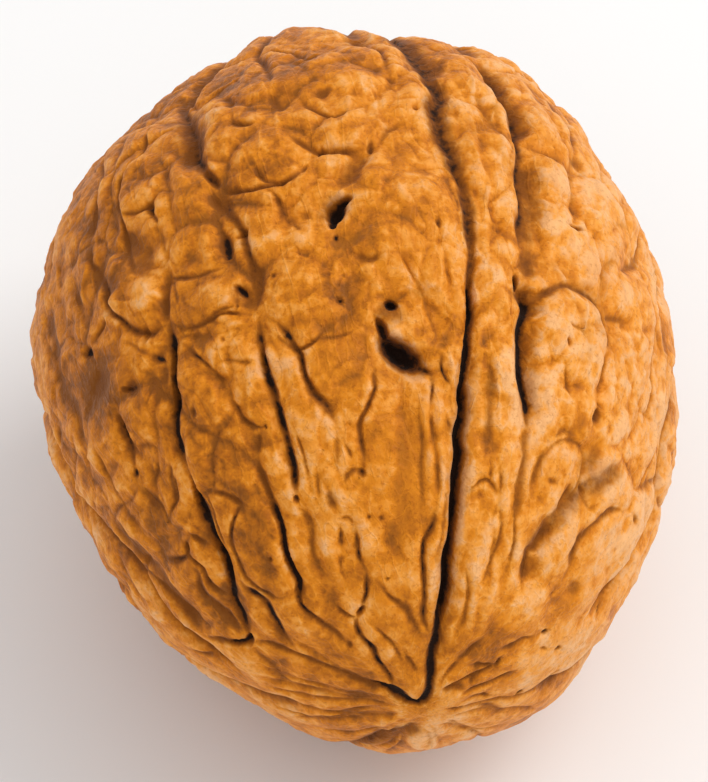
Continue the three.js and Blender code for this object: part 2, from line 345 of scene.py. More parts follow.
SEAMS = (
    Groove(VALLEY, 0.80, 0.42, 0.60, (
        (0, 176), (-1, 150), (-2, 130), (-1.5, 126), (-0.7, 120), (-0.2, 110),
    )),
    Groove(VALLEY, 0.54, 0.32, 0.62, (
        (-0.6, 122), (-0.2, 110), (0.3, 105), (-0.9, 100), (-0.6, 95), (0.2, 90), (0.8, 85), (1.5, 80),
    )),
    Groove(VALLEY, 0.36, 0.28, 0.60, (
        (-0.6, 95), (0.2, 90), (0.8, 85), (1.5, 80), (1.6, 75), (1.8, 70), (1.7, 65),
    )),
    Groove(VALLEY, 0.24, 0.24, 0.58, (
        (1.6, 75), (1.8, 70), (1.7, 65), (1.2, 60), (1.2, 55), (0.6, 50),
    )),
    Groove(GROOVE, 0.50, 0.26, 0.50, ((-2, 131), (-0.9, 119), (-0.2, 110), (0.3, 105), (-0.9, 100))),
    Groove(GROOVE, 0.38, 0.30, 0.50, ((0.3, 105), (-0.9, 100), (-0.6, 95), (0.2, 90), (0.8, 85))),
    Groove(GROOVE, 0.30, 0.36, 0.56, (
        (0.2, 90), (0.8, 85), (1.5, 80), (1.6, 75), (1.8, 70), (1.7, 65), (1.2, 60),
    )),
    Groove(CRACK, 0.20, 0.80, 0.92, (
        (1.7, 63), (1.2, 58), (1.2, 55), (0.6, 50), (0, 47), (-0.3, 45), (-0.9, 40), (-1.2, 35),
    )),
    Groove(CRACK, 0.30, 1.45, 1.0, (
        (-0.3, 45), (-0.9, 40), (-1.2, 35), (-1.6, 30), (-2.4, 25), (-3, 20), (-3.5, 15), (-4.2, 11),
    )),
    Groove(CRACK, 0.27, 0.50, 1.0, (
        (-3.5, 15), (-5.6, 10), (-7.4, 7.4), (-7, 5), (-8, 2.4), (-60, 1.2), (-68, 3), (-67, 4.4),
        (-71, 6.2), (-76, 7.7), (-78, 9.4),
    )),
    Groove(CRACK, 0.40, 0.50, 1.0, ((-64, 2.2), (-67, 4.4), (-71, 6.4))),
    Groove(VALLEY, 0.60, 0.25, 0.35, ((0.8, 50), (-0.9, 40), (-1.6, 30), (-3, 20), (-4, 12), (-7, 6))),
    Groove(VALLEY, 0.75, 0.30, 0.52, (
        (185, 2.6), (190, 6), (198, 10), (199, 13), (194, 19), (188, 27),
    )),
    Groove(CRACK, 0.13, 0.30, 0.55, (
        (190, 3), (196, 6), (198, 9), (198, 14), (193, 20), (188, 28), (183, 40),
    )),
    Groove(CRACK, 0.14, 0.55, 0.85, (
        (185, 34), (182, 52), (179, 76), (181, 100), (179, 125), (181, 150), (180, 172),
    )),
    Groove(VALLEY, 0.55, 0.30, 0.45, (
        (190, 24), (183, 45), (179, 76), (181, 100), (179, 125), (181, 150), (180, 172),
    )),
    Groove(CRACK, 0.16, 0.5, 0.8, ((0, 172), (-1, 158), (0.5, 145), (-2, 131))),
)

RIGHT_GROOVES = (
    Groove(VALLEY, 0.62, 0.50, 0.55, ((14.5, 124), (15.7, 114), (15.9, 106), (15.9, 100), (15.2, 95))),
    Groove(GROOVE, 0.34, 0.55, 0.62, (
        (14.8, 121), (15.2, 114), (15.8, 106), (16, 101), (15.4, 96.6), (14.9, 92), (14.2, 89),
        (13.8, 84), (13.6, 80), (13.1, 76.5), (12.5, 73.4), (12.7, 70),
    )),
    Groove(VALLEY, 0.85, 0.42, 0.42, ((16.2, 92), (15.4, 84), (15.2, 78), (14.0, 73), (14.4, 68))),
    Groove(CRACK, 0.17, 0.30, 0.72, ((14.1, 87), (13.7, 83), (13.5, 79), (13.1, 76))),
    Groove(VALLEY, 0.50, 0.34, 0.50, ((12.9, 71), (14.2, 68), (13.6, 65), (12.9, 62))),
    Groove(VALLEY, 0.55, 0.45, 0.55, ((12.5, 63), (12.8, 60), (13.7, 57.9), (13, 55.4))),
    Groove(GROOVE, 0.30, 0.75, 0.85, (
        (11.6, 61.4), (12.4, 59.6), (13.5, 57.8), (12.6, 55.4), (12, 52.6), (12.3, 50), (12.9, 48),
        (13.2, 46), (14.2, 44), (15, 42.2), (15, 40.4), (15.2, 38.4),
    )),
    Groove(VALLEY, 0.70, 0.35, 0.38, ((14.6, 57), (13.4, 52), (14.4, 47), (15.6, 42.5), (15.5, 39))),
    Groove(GROOVE, 0.34, 0.34, 0.42, (
        (15, 41), (15.2, 37.3), (15.7, 35.5), (16, 33.6), (16.5, 31.6), (17.3, 29), (17.8, 26),
    )),
    Groove(GROOVE, 0.28, 0.38, 0.52, (
        (13.4, 58.4), (15.7, 60.4), (17.8, 62), (19.5, 63.1), (22.2, 64.2), (25.3, 64.6), (28.3, 64.2),
        (30.8, 63.3), (32.2, 61.8), (33.4, 60), (34.2, 58), (33.2, 56.3), (31.5, 56),
    )),
    Groove(VALLEY, 0.62, 0.26, 0.26, ((19.5, 63.4), (25.3, 65), (30.8, 64), (34, 61), (35, 58))),
    Groove(GROOVE, 0.26, 0.30, 0.40, ((34.2, 58), (34, 55), (33.8, 52), (33.2, 49), (33.6, 47))),
    Groove(VALLEY, 0.40, 0.42, 0.62, ((34.2, 46.6), (33.6, 45), (33.4, 43.2))),
    Groove(GROOVE, 0.26, 0.28, 0.40, ((32.4, 62), (36.4, 63.5), (38.5, 64), (41, 65))),
    Groove(GROOVE, 0.28, 0.26, 0.32, ((32, 63.6), (32, 67), (32.3, 71.5), (34.5, 74.5), (38, 74.5))),
    Groove(GROOVE, 0.30, 0.32, 0.36, (
        (50.7, 72), (51.4, 68), (51.2, 65), (51, 62), (52.2, 58), (52.6, 54), (51, 50),
    )),
    Groove(GROOVE, 0.16, 0.18, 0.42, ((15.4, 49.2), (17.3, 49), (18.6, 49.8), (20.4, 50))),
    Groove(GROOVE, 0.18, 0.20, 0.38, ((22, 50.6), (22.7, 49.4), (23.6, 48), (25.3, 46.2), (26, 45))),
    Groove(GROOVE, 0.13, 0.14, 0.38, ((21.8, 55), (22.7, 53.8), (23, 52.8))),
    Groove(GROOVE, 0.12, 0.12, 0.35, (
        (21, 57.8), (23.4, 57.2), (25.2, 57.4), (26, 56.2), (25.8, 54.6),
    )),
    Groove(VALLEY, 0.40, 0.36, 0.55, ((24.6, 78), (24.7, 76.4))),
    Groove(VALLEY, 0.60, 0.30, 0.38, ((28, 98.5), (29.6, 96.4), (30.6, 95))),
    Groove(GROOVE, 0.28, 0.24, 0.32, ((29, 97), (27, 92), (25.4, 86), (24.7, 79))),
    Groove(GROOVE, 0.24, 0.22, 0.36, (
        (5, 106), (7.5, 105), (9.5, 101), (10.5, 96.5), (12.5, 94.2), (14.6, 93.6),
    )),
    Groove(GROOVE, 0.26, 0.28, 0.45, ((22.5, 38.4), (20.8, 35.9), (20.2, 34), (20, 32), (20.2, 30))),
    Groove(GROOVE, 0.22, 0.22, 0.36, ((22.5, 38.4), (25, 40.2), (28, 40.6), (29.6, 39.6))),
    Groove(VALLEY, 0.32, 0.26, 0.42, ((25.2, 34.2), (25.8, 32.8))),
    Groove(GROOVE, 0.24, 0.30, 0.48, (
        (33.6, 35), (32.7, 34.2), (31.9, 32.4), (31.5, 30.6), (31.6, 29.4),
    )),
    Groove(VALLEY, 0.60, 0.35, 0.38, ((36.4, 42.4), (36, 39), (34.8, 36.6), (34, 35))),
    Groove(GROOVE, 0.22, 0.22, 0.36, ((34.8, 36), (36, 34.6), (38, 33.8), (40.5, 33), (42.5, 34))),
    Groove(GROOVE, 0.32, 0.44, 0.52, (
        (32.6, 29.6), (32.6, 28), (30.2, 27), (29, 25.8), (28.6, 24.6), (27, 24.1), (25.8, 23.8),
        (26.8, 22.4), (28.6, 21.2), (30, 20), (30.8, 18.6),
    )),
    Groove(VALLEY, 0.65, 0.30, 0.36, ((29.4, 24.5), (29.4, 22), (31.4, 19.6))),
    Groove(VALLEY, 0.60, 0.34, 0.46, ((24, 22), (27, 25), (31, 29), (36, 33.6), (42, 38), (48, 42))),
    Groove(GROOVE, 0.20, 0.28, 0.48, ((41, 24), (42, 27.6), (44, 31), (48, 34.6), (54, 37))),
    Groove(GROOVE, 0.30, 0.38, 0.50, (
        (42.6, 31.2), (42, 29.8), (42, 28), (42.6, 26.5), (44.2, 25), (45, 24),
    )),
    Groove(VALLEY, 0.50, 0.26, 0.36, ((50.6, 25), (52, 23.6), (55, 22.4))),
    Groove(VALLEY, 0.18, 0.22, 0.62, ((45.4, 21.2), (46.4, 20.8))),
    Groove(VALLEY, 0.30, 0.22, 0.40, ((58.8, 38.2), (58.6, 36.8))),
    Groove(GROOVE, 0.26, 0.26, 0.40, (
        (55, 40.4), (56.4, 41.4), (59.5, 43.5), (63, 46), (66, 47.6), (71, 49),
    )),
    Groove(VALLEY, 0.50, 0.22, 0.30, ((70, 36), (68, 34))),
    Groove(GROOVE, 0.18, 0.24, 0.50, (
        (41, 11.2), (43.5, 12), (46.5, 12.6), (50, 14.4), (52.6, 15), (55, 16.1),
    )),
    Groove(CRACK, 0.15, 0.22, 0.70, ((56, 16.5), (58.4, 17.7))),
    Groove(VALLEY, 0.22, 0.26, 0.66, ((71.5, 18.7), (74, 18.2))),
    Groove(VALLEY, 0.30, 0.20, 0.42, ((65, 16.4), (67, 15.8))),
    Groove(VALLEY, 0.34, 0.30, 0.50, ((74, 26.8), (76, 27.2))),
    Groove(GROOVE, 0.16, 0.22, 0.48, ((26, 7.6), (33, 8.1), (40, 8.7), (46, 9.4), (54, 10.2))),
    Groove(VALLEY, 0.24, 0.20, 0.46, ((42, 6.4), (47, 6.9), (52, 6.0))),
    Groove(VALLEY, 0.24, 0.24, 0.48, ((14, 3.2), (30, 3.8), (44, 5.0), (60, 5.2))),
    Groove(GROOVE, 0.13, 0.22, 0.50, ((20, 2.5), (34, 5), (46, 8), (50, 10), (54, 12.4))),
    Groove(GROOVE, 0.13, 0.22, 0.44, ((6, 3), (14, 6), (22, 9.5), (28, 13))),
    Groove(GROOVE, 0.13, 0.20, 0.44, ((60, 3), (62, 6.5), (66, 10), (70, 13))),
    Groove(GROOVE, 0.17, 0.30, 0.78, ((48.6, 11.4), (51, 10.2), (54, 9.4))),
    Groove(GROOVE, 0.16, 0.24, 0.55, ((75, 3), (75, 5), (76, 6.5), (82, 8), (86, 9))),
    Groove(VALLEY, 0.26, 0.34, 0.80, ((91.6, 12.8), (94, 13.6))),
    Groove(VALLEY, 0.46, 0.28, 0.50, ((90, 18), (92.5, 19))),
    Groove(GROOVE, 0.26, 0.26, 0.46, ((98, 6.4), (102, 9), (107, 12), (111, 14))),
    Groove(GROOVE, 0.20, 0.26, 0.55, ((88, 2.6), (92, 4), (93, 5.4))),
)

SEAM_SIDE_GROOVES = (
    Groove(GROOVE, 0.30, 0.20, 0.40, (
        (4, 49.5), (4.9, 46.5), (5.2, 43), (5.3, 40), (5.7, 36), (5.5, 33),
    )),
    Groove(GROOVE, 0.14, 0.14, 0.36, ((0.2, 28.5), (2, 29.6), (4.5, 30.5))),
    Groove(GROOVE, 0.11, 0.12, 0.45, ((8.5, 34), (10.3, 31.5), (10.3, 29), (9.4, 26))),
    Groove(GROOVE, 0.12, 0.12, 0.40, ((6, 34.5), (7, 32.5), (7, 30.6))),
    Groove(GROOVE, 0.13, 0.22, 0.46, (
        (1.6, 27.5), (2.6, 29.8), (5.6, 31), (9.6, 29.6), (12.6, 26), (13.6, 22), (12.6, 19.4),
        (9.6, 18),
    )),
    Groove(GROOVE, 0.14, 0.22, 0.44, ((15.6, 33), (16.4, 29), (18, 25), (20, 21), (22, 17.6))),
    Groove(GROOVE, 0.15, 0.20, 0.36, (
        (22, 33.5), (21.6, 36.5), (24.6, 38.8), (29.6, 39.8), (33.6, 38.6), (35, 36), (34, 32.5),
        (31.6, 30.6),
    )),
    Groove(GROOVE, 0.18, 0.18, 0.36, ((3, 21), (6, 17), (8, 13), (6, 10))),
    Groove(GROOVE, 0.14, 0.12, 0.32, ((10, 26), (13, 22), (15, 18))),
    Groove(GROOVE, 0.17, 0.36, 0.68, (
        (-8.3, 28), (-8.8, 26), (-10, 24.5), (-12.3, 23), (-12.6, 20), (-14, 15), (-13, 12.5),
        (-8.6, 10.4),
    )),
    Groove(GROOVE, 0.12, 0.16, 0.50, ((-5, 39.5), (-3.5, 37), (-1.6, 35.6))),
    Groove(GROOVE, 0.15, 0.26, 0.55, (
        (-7.4, 47), (-7.8, 44), (-8.4, 40), (-8.2, 36), (-7.2, 32), (-8.3, 28),
    )),
    Groove(GROOVE, 0.12, 0.22, 0.42, ((-4.6, 33), (-5.2, 29), (-6.4, 24), (-8, 19), (-9.6, 15))),
    Groove(GROOVE, 0.14, 0.24, 0.42, ((-11, 43), (-11.4, 39), (-11.2, 35), (-12, 31), (-12.8, 27))),
    Groove(VALLEY, 0.55, 0.26, 0.22, (
        (-12, 42), (-14.5, 41), (-15.5, 36), (-16, 33), (-17, 29.5), (-19.5, 25), (-22, 23), (-23, 20),
    )),
    Groove(GROOVE, 0.20, 0.34, 0.55, (
        (-18.6, 48), (-20.3, 46), (-20.6, 43.8), (-22.7, 41.7), (-25.1, 39.2), (-25.5, 37.2), (-26, 35),
        (-27.2, 33.2),
    )),
    Groove(VALLEY, 0.26, 0.28, 0.66, ((-26.6, 33.6), (-28, 32.4))),
    Groove(GROOVE, 0.16, 0.22, 0.50, ((-27.4, 33.4), (-29, 33.6), (-31, 33.2), (-32.4, 32))),
    Groove(GROOVE, 0.13, 0.16, 0.45, ((-30, 37.5), (-29.4, 36), (-29.4, 34.6))),
    Groove(GROOVE, 0.10, 0.12, 0.62, ((-29.6, 27), (-28, 27.2))),
    Groove(GROOVE, 0.10, 0.12, 0.55, ((-24.6, 26.9), (-25.6, 26.2))),
    Groove(VALLEY, 0.80, 0.40, 0.50, ((-17.6, 57.4), (-15.4, 55.6), (-12.6, 56.6))),
    Groove(VALLEY, 0.75, 0.40, 0.42, ((-20, 78), (-23.4, 75.8), (-24, 72.6))),
    Groove(CRACK, 0.13, 0.32, 0.85, ((-23.2, 70.6), (-23.6, 69))),
    Groove(VALLEY, 0.20, 0.24, 0.72, ((-24.7, 58.8), (-24.3, 57.6))),
    Groove(GROOVE, 0.10, 0.14, 0.60, ((-4.9, 72), (-4.4, 70))),
    Groove(GROOVE, 0.13, 0.20, 0.66, ((-5, 48.8), (-5.3, 46), (-4.3, 44.5), (-2.8, 43.2))),
    Groove(VALLEY, 0.14, 0.14, 0.55, ((-6.2, 44.2), (-5.8, 43.8))),
    Groove(VALLEY, 0.55, 0.40, 0.44, ((-20.4, 78.6), (-19.4, 82), (-17.4, 86), (-14.6, 89.2))),
    Groove(GROOVE, 0.26, 0.34, 0.52, (
        (-29.4, 95.8), (-27.6, 93.4), (-26, 91.6), (-24, 89.7), (-21, 88.8), (-18, 88.8), (-15, 89.2),
    )),
    Groove(VALLEY, 0.34, 0.30, 0.62, ((-24.2, 89.8), (-23, 89.2))),
    Groove(VALLEY, 0.36, 0.32, 0.66, ((-15.6, 89.5), (-13.8, 89.3))),
    Groove(GROOVE, 0.22, 0.24, 0.42, ((-14, 89.4), (-12.4, 91.4), (-10.5, 94), (-7, 96.6))),
    Groove(GROOVE, 0.12, 0.12, 0.38, ((-9, 109), (-7.6, 107.4))),
    Groove(GROOVE, 0.12, 0.12, 0.38, ((-5.4, 100.4), (-4, 98.8))),
    Groove(VALLEY, 0.60, 0.45, 0.50, ((-13, 134), (-12.5, 129), (-12, 124))),
    Groove(GROOVE, 0.16, 0.14, 0.32, ((-13, 66), (-9, 60), (-7, 54), (-6, 49))),
    Groove(GROOVE, 0.14, 0.12, 0.30, ((-4.5, 68), (-3.4, 62), (-3, 57))),
    Groove(VALLEY, 0.30, 0.20, 0.40, ((-15, 66), (-18, 64.6), (-21.4, 66.6))),
    Groove(GROOVE, 0.16, 0.24, 0.50, (
        (-31, 19), (-28.5, 17), (-24.5, 15.2), (-22, 13.7), (-19, 12.3), (-17, 10.4),
    )),
    Groove(VALLEY, 0.14, 0.16, 0.60, ((-27.4, 19.2), (-26.4, 18.8))),
    Groove(GROOVE, 0.10, 0.14, 0.50, ((-41, 14.3), (-39.5, 13), (-38.5, 11.8), (-36, 10.3), (-32, 7))),
    Groove(GROOVE, 0.10, 0.14, 0.50, ((-30, 8.9), (-27, 7.5), (-22, 5.6))),
    Groove(VALLEY, 0.62, 0.26, 0.36, ((-22.4, 106.5), (-21.6, 103.5))),
    Groove(VALLEY, 0.60, 0.30, 0.34, ((-24, 121), (-22.4, 117.6))),
    Groove(GROOVE, 0.28, 0.26, 0.34, ((-31.6, 109), (-31, 105.6), (-29.6, 103), (-28.2, 101))),
    Groove(GROOVE, 0.24, 0.28, 0.46, ((-38.6, 104), (-38.2, 101.2), (-36, 99.2), (-33.4, 98.2))),
    Groove(GROOVE, 0.28, 0.22, 0.32, ((-41, 114), (-40, 109), (-38.6, 104.6))),
    Groove(GROOVE, 0.22, 0.26, 0.42, (
        (-36, 89), (-35, 86.8), (-33.8, 84.7), (-31.6, 83.6), (-29.6, 83),
    )),
    Groove(VALLEY, 0.26, 0.20, 0.34, ((-27.2, 86), (-26.2, 85))),
    Groove(GROOVE, 0.24, 0.34, 0.52, ((-31.7, 78), (-30.8, 76), (-29.9, 73.8), (-28.6, 72))),
    Groove(VALLEY, 0.40, 0.22, 0.32, ((-27.6, 77.5), (-28.4, 75))),
    Groove(GROOVE, 0.13, 0.20, 0.55, ((-36.2, 65.2), (-35, 65.9))),
    Groove(GROOVE, 0.20, 0.22, 0.34, ((-35.2, 65), (-36, 63.4), (-35.4, 61.4))),
)

LEFT_GROOVES = (
    Groove(VALLEY, 0.80, 0.55, 0.48, (
        (-53, 117), (-50.4, 113), (-49, 111), (-48.3, 107), (-47.4, 103), (-47, 98.5), (-45.4, 94.5),
    )),
    Groove(GROOVE, 0.22, 0.36, 0.58, (
        (-43, 87), (-40, 85), (-37, 83.6), (-33.6, 83.4), (-30, 83.6), (-26.4, 86),
    )),
    Groove(GROOVE, 0.19, 0.34, 0.56, ((-34, 83.4), (-32.6, 79.4), (-31, 75.4), (-29, 71.6))),
    Groove(GROOVE, 0.19, 0.34, 0.52, (
        (-57, 112), (-58, 106), (-61, 101), (-62.6, 96), (-62, 91), (-62.2, 84), (-60.4, 77),
    )),
    Groove(GROOVE, 0.18, 0.32, 0.52, ((-62, 92.4), (-58.6, 90), (-55.6, 90.6), (-53, 92))),
    Groove(GROOVE, 0.18, 0.32, 0.56, ((-56, 90), (-55.4, 87), (-54.8, 84))),
    Groove(GROOVE, 0.18, 0.32, 0.52, ((-57, 75), (-54, 73), (-51, 71.6), (-47.6, 71), (-44, 70.4))),
    Groove(GROOVE, 0.18, 0.32, 0.52, (
        (-57, 65.4), (-53.6, 63), (-50, 62.4), (-47, 62.6), (-44, 61.4), (-41, 60.4),
    )),
    Groove(GROOVE, 0.18, 0.32, 0.50, (
        (-39, 56.6), (-36.6, 54), (-34.6, 52.4), (-31.6, 52.6), (-28.6, 54), (-26, 55),
    )),
    Groove(GROOVE, 0.20, 0.34, 0.50, (
        (-26.6, 105), (-24, 100.6), (-21, 97.6), (-18, 98.4), (-15, 99.6),
    )),
    Groove(CRACK, 0.36, 0.22, 0.58, (
        (-55, 125), (-54, 121.5), (-51.6, 116), (-49.6, 111), (-47.6, 105), (-46, 100), (-45, 94),
        (-43.4, 89.4),
    )),
    Groove(CRACK, 0.32, 0.26, 0.56, (
        (-43, 88), (-41.6, 83), (-40.6, 79), (-39.4, 74.5), (-39, 70), (-39.6, 65.5), (-40.6, 61.5),
    )),
    Groove(GROOVE, 0.42, 0.50, 0.60, (
        (-49.6, 112), (-48.4, 107), (-47.4, 103), (-46.8, 98.5), (-45.4, 94.5), (-44.4, 91.6),
        (-43.6, 89),
    )),
    Groove(GROOVE, 0.34, 0.42, 0.48, (
        (-43, 88), (-43.9, 85.5), (-42.8, 83), (-41.6, 80.8), (-40.4, 78.4), (-39.6, 75.6),
        (-39.3, 72.4), (-39, 69.5), (-38.6, 66.6), (-38.9, 64), (-40, 61.4), (-40.4, 59.4),
    )),
    Groove(VALLEY, 0.34, 0.30, 0.60, ((-39.9, 76.4), (-39.4, 74.8))),
    Groove(GROOVE, 0.30, 0.50, 0.75, (
        (-43.7, 78.6), (-43.5, 77), (-43.3, 75), (-43.2, 72.2), (-43.6, 70.6),
    )),
    Groove(CRACK, 0.20, 0.36, 0.86, ((-43.2, 73.2), (-43.2, 71.4))),
    Groove(VALLEY, 0.55, 0.30, 0.42, ((-43.6, 67), (-41.4, 63.6), (-40.8, 61))),
    Groove(CRACK, 0.23, 0.85, 0.97, (
        (-40.9, 57.6), (-41.4, 56), (-41.5, 54.2), (-41.8, 52), (-41.6, 50.2), (-41.3, 48.6),
    )),
    Groove(GROOVE, 0.26, 0.58, 0.78, (
        (-40.5, 59.4), (-41, 57), (-41.6, 53), (-41.7, 50), (-41.5, 48), (-41.6, 45.6), (-41.8, 42.1),
        (-42.1, 40), (-42.7, 37.7), (-43.5, 35.7), (-44.2, 34), (-44.7, 32.8),
    )),
    Groove(CRACK, 0.17, 0.45, 0.90, ((-41.9, 40), (-42.7, 37.7), (-43.4, 35.8))),
    Groove(CRACK, 0.20, 0.50, 0.93, ((-41.4, 45.2), (-41.3, 44.2))),
    Groove(CRACK, 0.14, 0.32, 0.88, ((-44.6, 33.2), (-44.8, 32.6))),
    Groove(GROOVE, 0.24, 0.26, 0.44, (
        (-44.7, 32.8), (-44.9, 30), (-45.2, 28.5), (-46.5, 26.8), (-48, 25), (-49.6, 22.6),
    )),
    Groove(GROOVE, 0.24, 0.42, 0.62, (
        (-38.2, 58.8), (-36.7, 56.8), (-35.6, 54.6), (-35, 52.9), (-34.2, 51.2), (-34.6, 48.9),
        (-34.2, 47), (-33.5, 45.4), (-32.4, 44.2), (-31.6, 42.8), (-31, 41.1), (-31, 39.6),
    )),
    Groove(CRACK, 0.17, 0.30, 0.80, ((-36.2, 55.8), (-35.2, 53.4))),
    Groove(GROOVE, 0.18, 0.18, 0.36, ((-31, 39.6), (-31.4, 37.8), (-32.4, 35.6), (-33.2, 33.6))),
    Groove(GROOVE, 0.14, 0.18, 0.40, (
        (-34.2, 52.7), (-31.5, 53.2), (-29.4, 53.1), (-25, 52.5), (-22, 54),
    )),
    Groove(VALLEY, 0.22, 0.24, 0.50, ((-36.4, 32.6), (-37, 31), (-37.2, 29))),
    Groove(GROOVE, 0.15, 0.26, 0.66, ((-37.2, 27.2), (-38.6, 25.8), (-39.4, 24.4))),
    Groove(GROOVE, 0.16, 0.34, 0.66, ((-32.8, 26.6), (-33.8, 24.5), (-34.8, 22.5), (-34.2, 20.8))),
    Groove(GROOVE, 0.13, 0.14, 0.40, ((-37.2, 28), (-34.6, 27.8), (-32.6, 26.6))),
    Groove(GROOVE, 0.12, 0.14, 0.42, ((-39.6, 24.4), (-42, 22), (-43, 20))),
    Groove(GROOVE, 0.13, 0.15, 0.40, ((-39.6, 44), (-39.2, 40), (-39.8, 36), (-40.6, 33))),
    Groove(GROOVE, 0.12, 0.14, 0.36, ((-37.4, 35.6), (-38.4, 33.4), (-39.6, 31))),
    Groove(VALLEY, 0.15, 0.18, 0.62, ((-43.2, 21.9), (-42.8, 21.7))),
    Groove(VALLEY, 0.13, 0.16, 0.58, ((-41.2, 21.4), (-40.8, 21.2))),
    Groove(GROOVE, 0.17, 0.30, 0.60, (
        (-50.4, 50.4), (-49.6, 47.6), (-49.4, 46), (-47.4, 44.2), (-45.4, 43.7),
    )),
    Groove(VALLEY, 0.16, 0.20, 0.62, ((-45.8, 43.7), (-45, 43.7))),
    Groove(GROOVE, 0.22, 0.30, 0.55, ((-47, 43.4), (-48.4, 41.6), (-49.6, 40))),
    Groove(GROOVE, 0.24, 0.46, 0.54, (
        (-49.7, 40.4), (-50.2, 37.6), (-50.7, 34.6), (-51.4, 32.6), (-52.2, 30.8), (-53.2, 29),
        (-55, 26.6), (-56.4, 24.6), (-57.3, 22.8), (-58.6, 20.6),
    )),
    Groove(GROOVE, 0.19, 0.36, 0.70, (
        (-57, 23.6), (-60, 22.2), (-61, 20), (-59.4, 18.4), (-57.4, 17.6),
    )),
    Groove(CRACK, 0.20, 0.62, 0.96, (
        (-50.7, 35.4), (-51.4, 33), (-52.2, 31), (-53.2, 29), (-55, 26.6), (-56.2, 24.8), (-57, 23.4),
        (-60, 21.8), (-60.8, 20),
    )),
    Groove(GROOVE, 0.18, 0.30, 0.58, ((-58.4, 21), (-60, 19.4), (-59.4, 16.4), (-58, 13.4))),
    Groove(VALLEY, 0.16, 0.20, 0.60, ((-58.6, 13.4), (-57.6, 12.8))),
    Groove(VALLEY, 0.14, 0.16, 0.56, ((-61, 14.6), (-60.2, 14.2))),
    Groove(CRACK, 0.28, 1.10, 1.0, (
        (-57.5, 64.4), (-57.9, 62.3), (-59.1, 59.8), (-60, 57.5), (-61, 55.4), (-61.9, 53),
        (-62.9, 51.4), (-64, 49.8),
    )),
    Groove(GROOVE, 0.34, 0.70, 0.86, (
        (-57.2, 66.4), (-58, 62.3), (-60, 57.6), (-61.9, 53), (-64.1, 49.7), (-64.8, 47.9),
        (-65.2, 45.8), (-65.3, 44),
    )),
    Groove(GROOVE, 0.30, 0.42, 0.46, (
        (-54.6, 76), (-55.3, 73.3), (-56.4, 70.6), (-57.2, 67.9), (-57.3, 65),
    )),
    Groove(GROOVE, 0.18, 0.22, 0.44, ((-65.3, 44.2), (-65.6, 43.2), (-66, 42.4))),
    Groove(CRACK, 0.20, 0.85, 0.98, (
        (-65.9, 42.8), (-66.8, 41.4), (-67.5, 39.8), (-68.6, 37.7), (-69.3, 35.6),
    )),
    Groove(CRACK, 0.27, 0.95, 1.0, (
        (-69, 36.4), (-69.8, 34.4), (-70.8, 32.8), (-72, 31.6), (-74, 30), (-76, 29.1), (-78.4, 28.2),
    )),
    Groove(GROOVE, 0.30, 0.66, 0.90, (
        (-66, 42.4), (-68.6, 37.7), (-71, 32.6), (-76, 29.1), (-79.4, 27.9), (-81.3, 26.6), (-83, 25.4),
        (-86, 24.2), (-88.8, 23.4),
    )),
    Groove(CRACK, 0.20, 0.55, 0.94, ((-85.6, 24.3), (-88.8, 23.4), (-92, 24.8), (-95, 26.6))),
    Groove(GROOVE, 0.26, 0.36, 0.62, ((-88.8, 23.4), (-92, 25), (-95, 27), (-98.4, 29.4))),
    Groove(GROOVE, 0.26, 0.42, 0.58, (
        (-69.4, 85), (-68.4, 82), (-67.6, 79.4), (-67.8, 75.9), (-67.1, 74), (-65.8, 71.7),
        (-64.5, 69.3), (-63, 67.5), (-61.2, 66.3), (-59, 66.4), (-57.4, 66),
    )),
    Groove(CRACK, 0.15, 0.30, 0.62, (
        (-67.7, 77.4), (-67.7, 75.6), (-66, 72), (-64.5, 69.4), (-63, 67.6),
    )),
    Groove(VALLEY, 0.50, 0.30, 0.50, ((-63.4, 67.2), (-61.6, 66.6))),
    Groove(GROOVE, 0.28, 0.26, 0.42, (
        (-70.4, 92), (-70.3, 87.5), (-69.3, 84.5), (-68.7, 82), (-67.8, 79),
    )),
    Groove(GROOVE, 0.20, 0.26, 0.46, ((-68.2, 75), (-70.6, 74.4), (-73, 73.8), (-74.4, 72.8))),
    Groove(VALLEY, 0.30, 0.34, 0.80, ((-78, 73.6), (-76.4, 72.8), (-75, 71.6))),
    Groove(GROOVE, 0.20, 0.34, 0.78, ((-62.8, 63), (-61.8, 61.8), (-60.4, 60.2))),
    Groove(GROOVE, 0.16, 0.16, 0.36, ((-66, 68), (-64.6, 65.6), (-62.8, 63.2))),
    Groove(VALLEY, 0.40, 0.24, 0.60, ((-70, 60.6), (-66.6, 60.6))),
    Groove(VALLEY, 1.05, 0.20, 0.50, ((-76, 69), (-76.4, 66), (-77, 63.4))),
    Groove(VALLEY, 0.55, 0.32, 0.40, (
        (-61.6, 90), (-60.6, 85), (-59.8, 82), (-58.8, 78), (-57.6, 74.4),
    )),
    Groove(VALLEY, 0.28, 0.30, 0.66, ((-56.2, 91), (-55.6, 89), (-56, 87.4))),
    Groove(GROOVE, 0.24, 0.22, 0.36, ((-56, 87), (-55, 83), (-54.4, 79), (-54.4, 76))),
    Groove(VALLEY, 0.40, 0.26, 0.34, ((-64, 98), (-63.6, 94), (-64.4, 90), (-65, 86))),
    Groove(VALLEY, 0.75, 0.24, 0.34, ((-66.6, 81), (-64.4, 77))),
    Groove(VALLEY, 0.40, 0.26, 0.38, ((-77.4, 90), (-76, 85), (-75.4, 81), (-75.6, 77.6))),
    Groove(GROOVE, 0.24, 0.26, 0.50, ((-54.8, 73.2), (-52, 71.9), (-50.2, 71.2))),
    Groove(GROOVE, 0.16, 0.20, 0.48, ((-49.6, 63.4), (-48, 63), (-46, 63.1), (-43.6, 62.7))),
    Groove(VALLEY, 0.20, 0.20, 0.60, ((-44, 62.9), (-43.2, 62.5))),
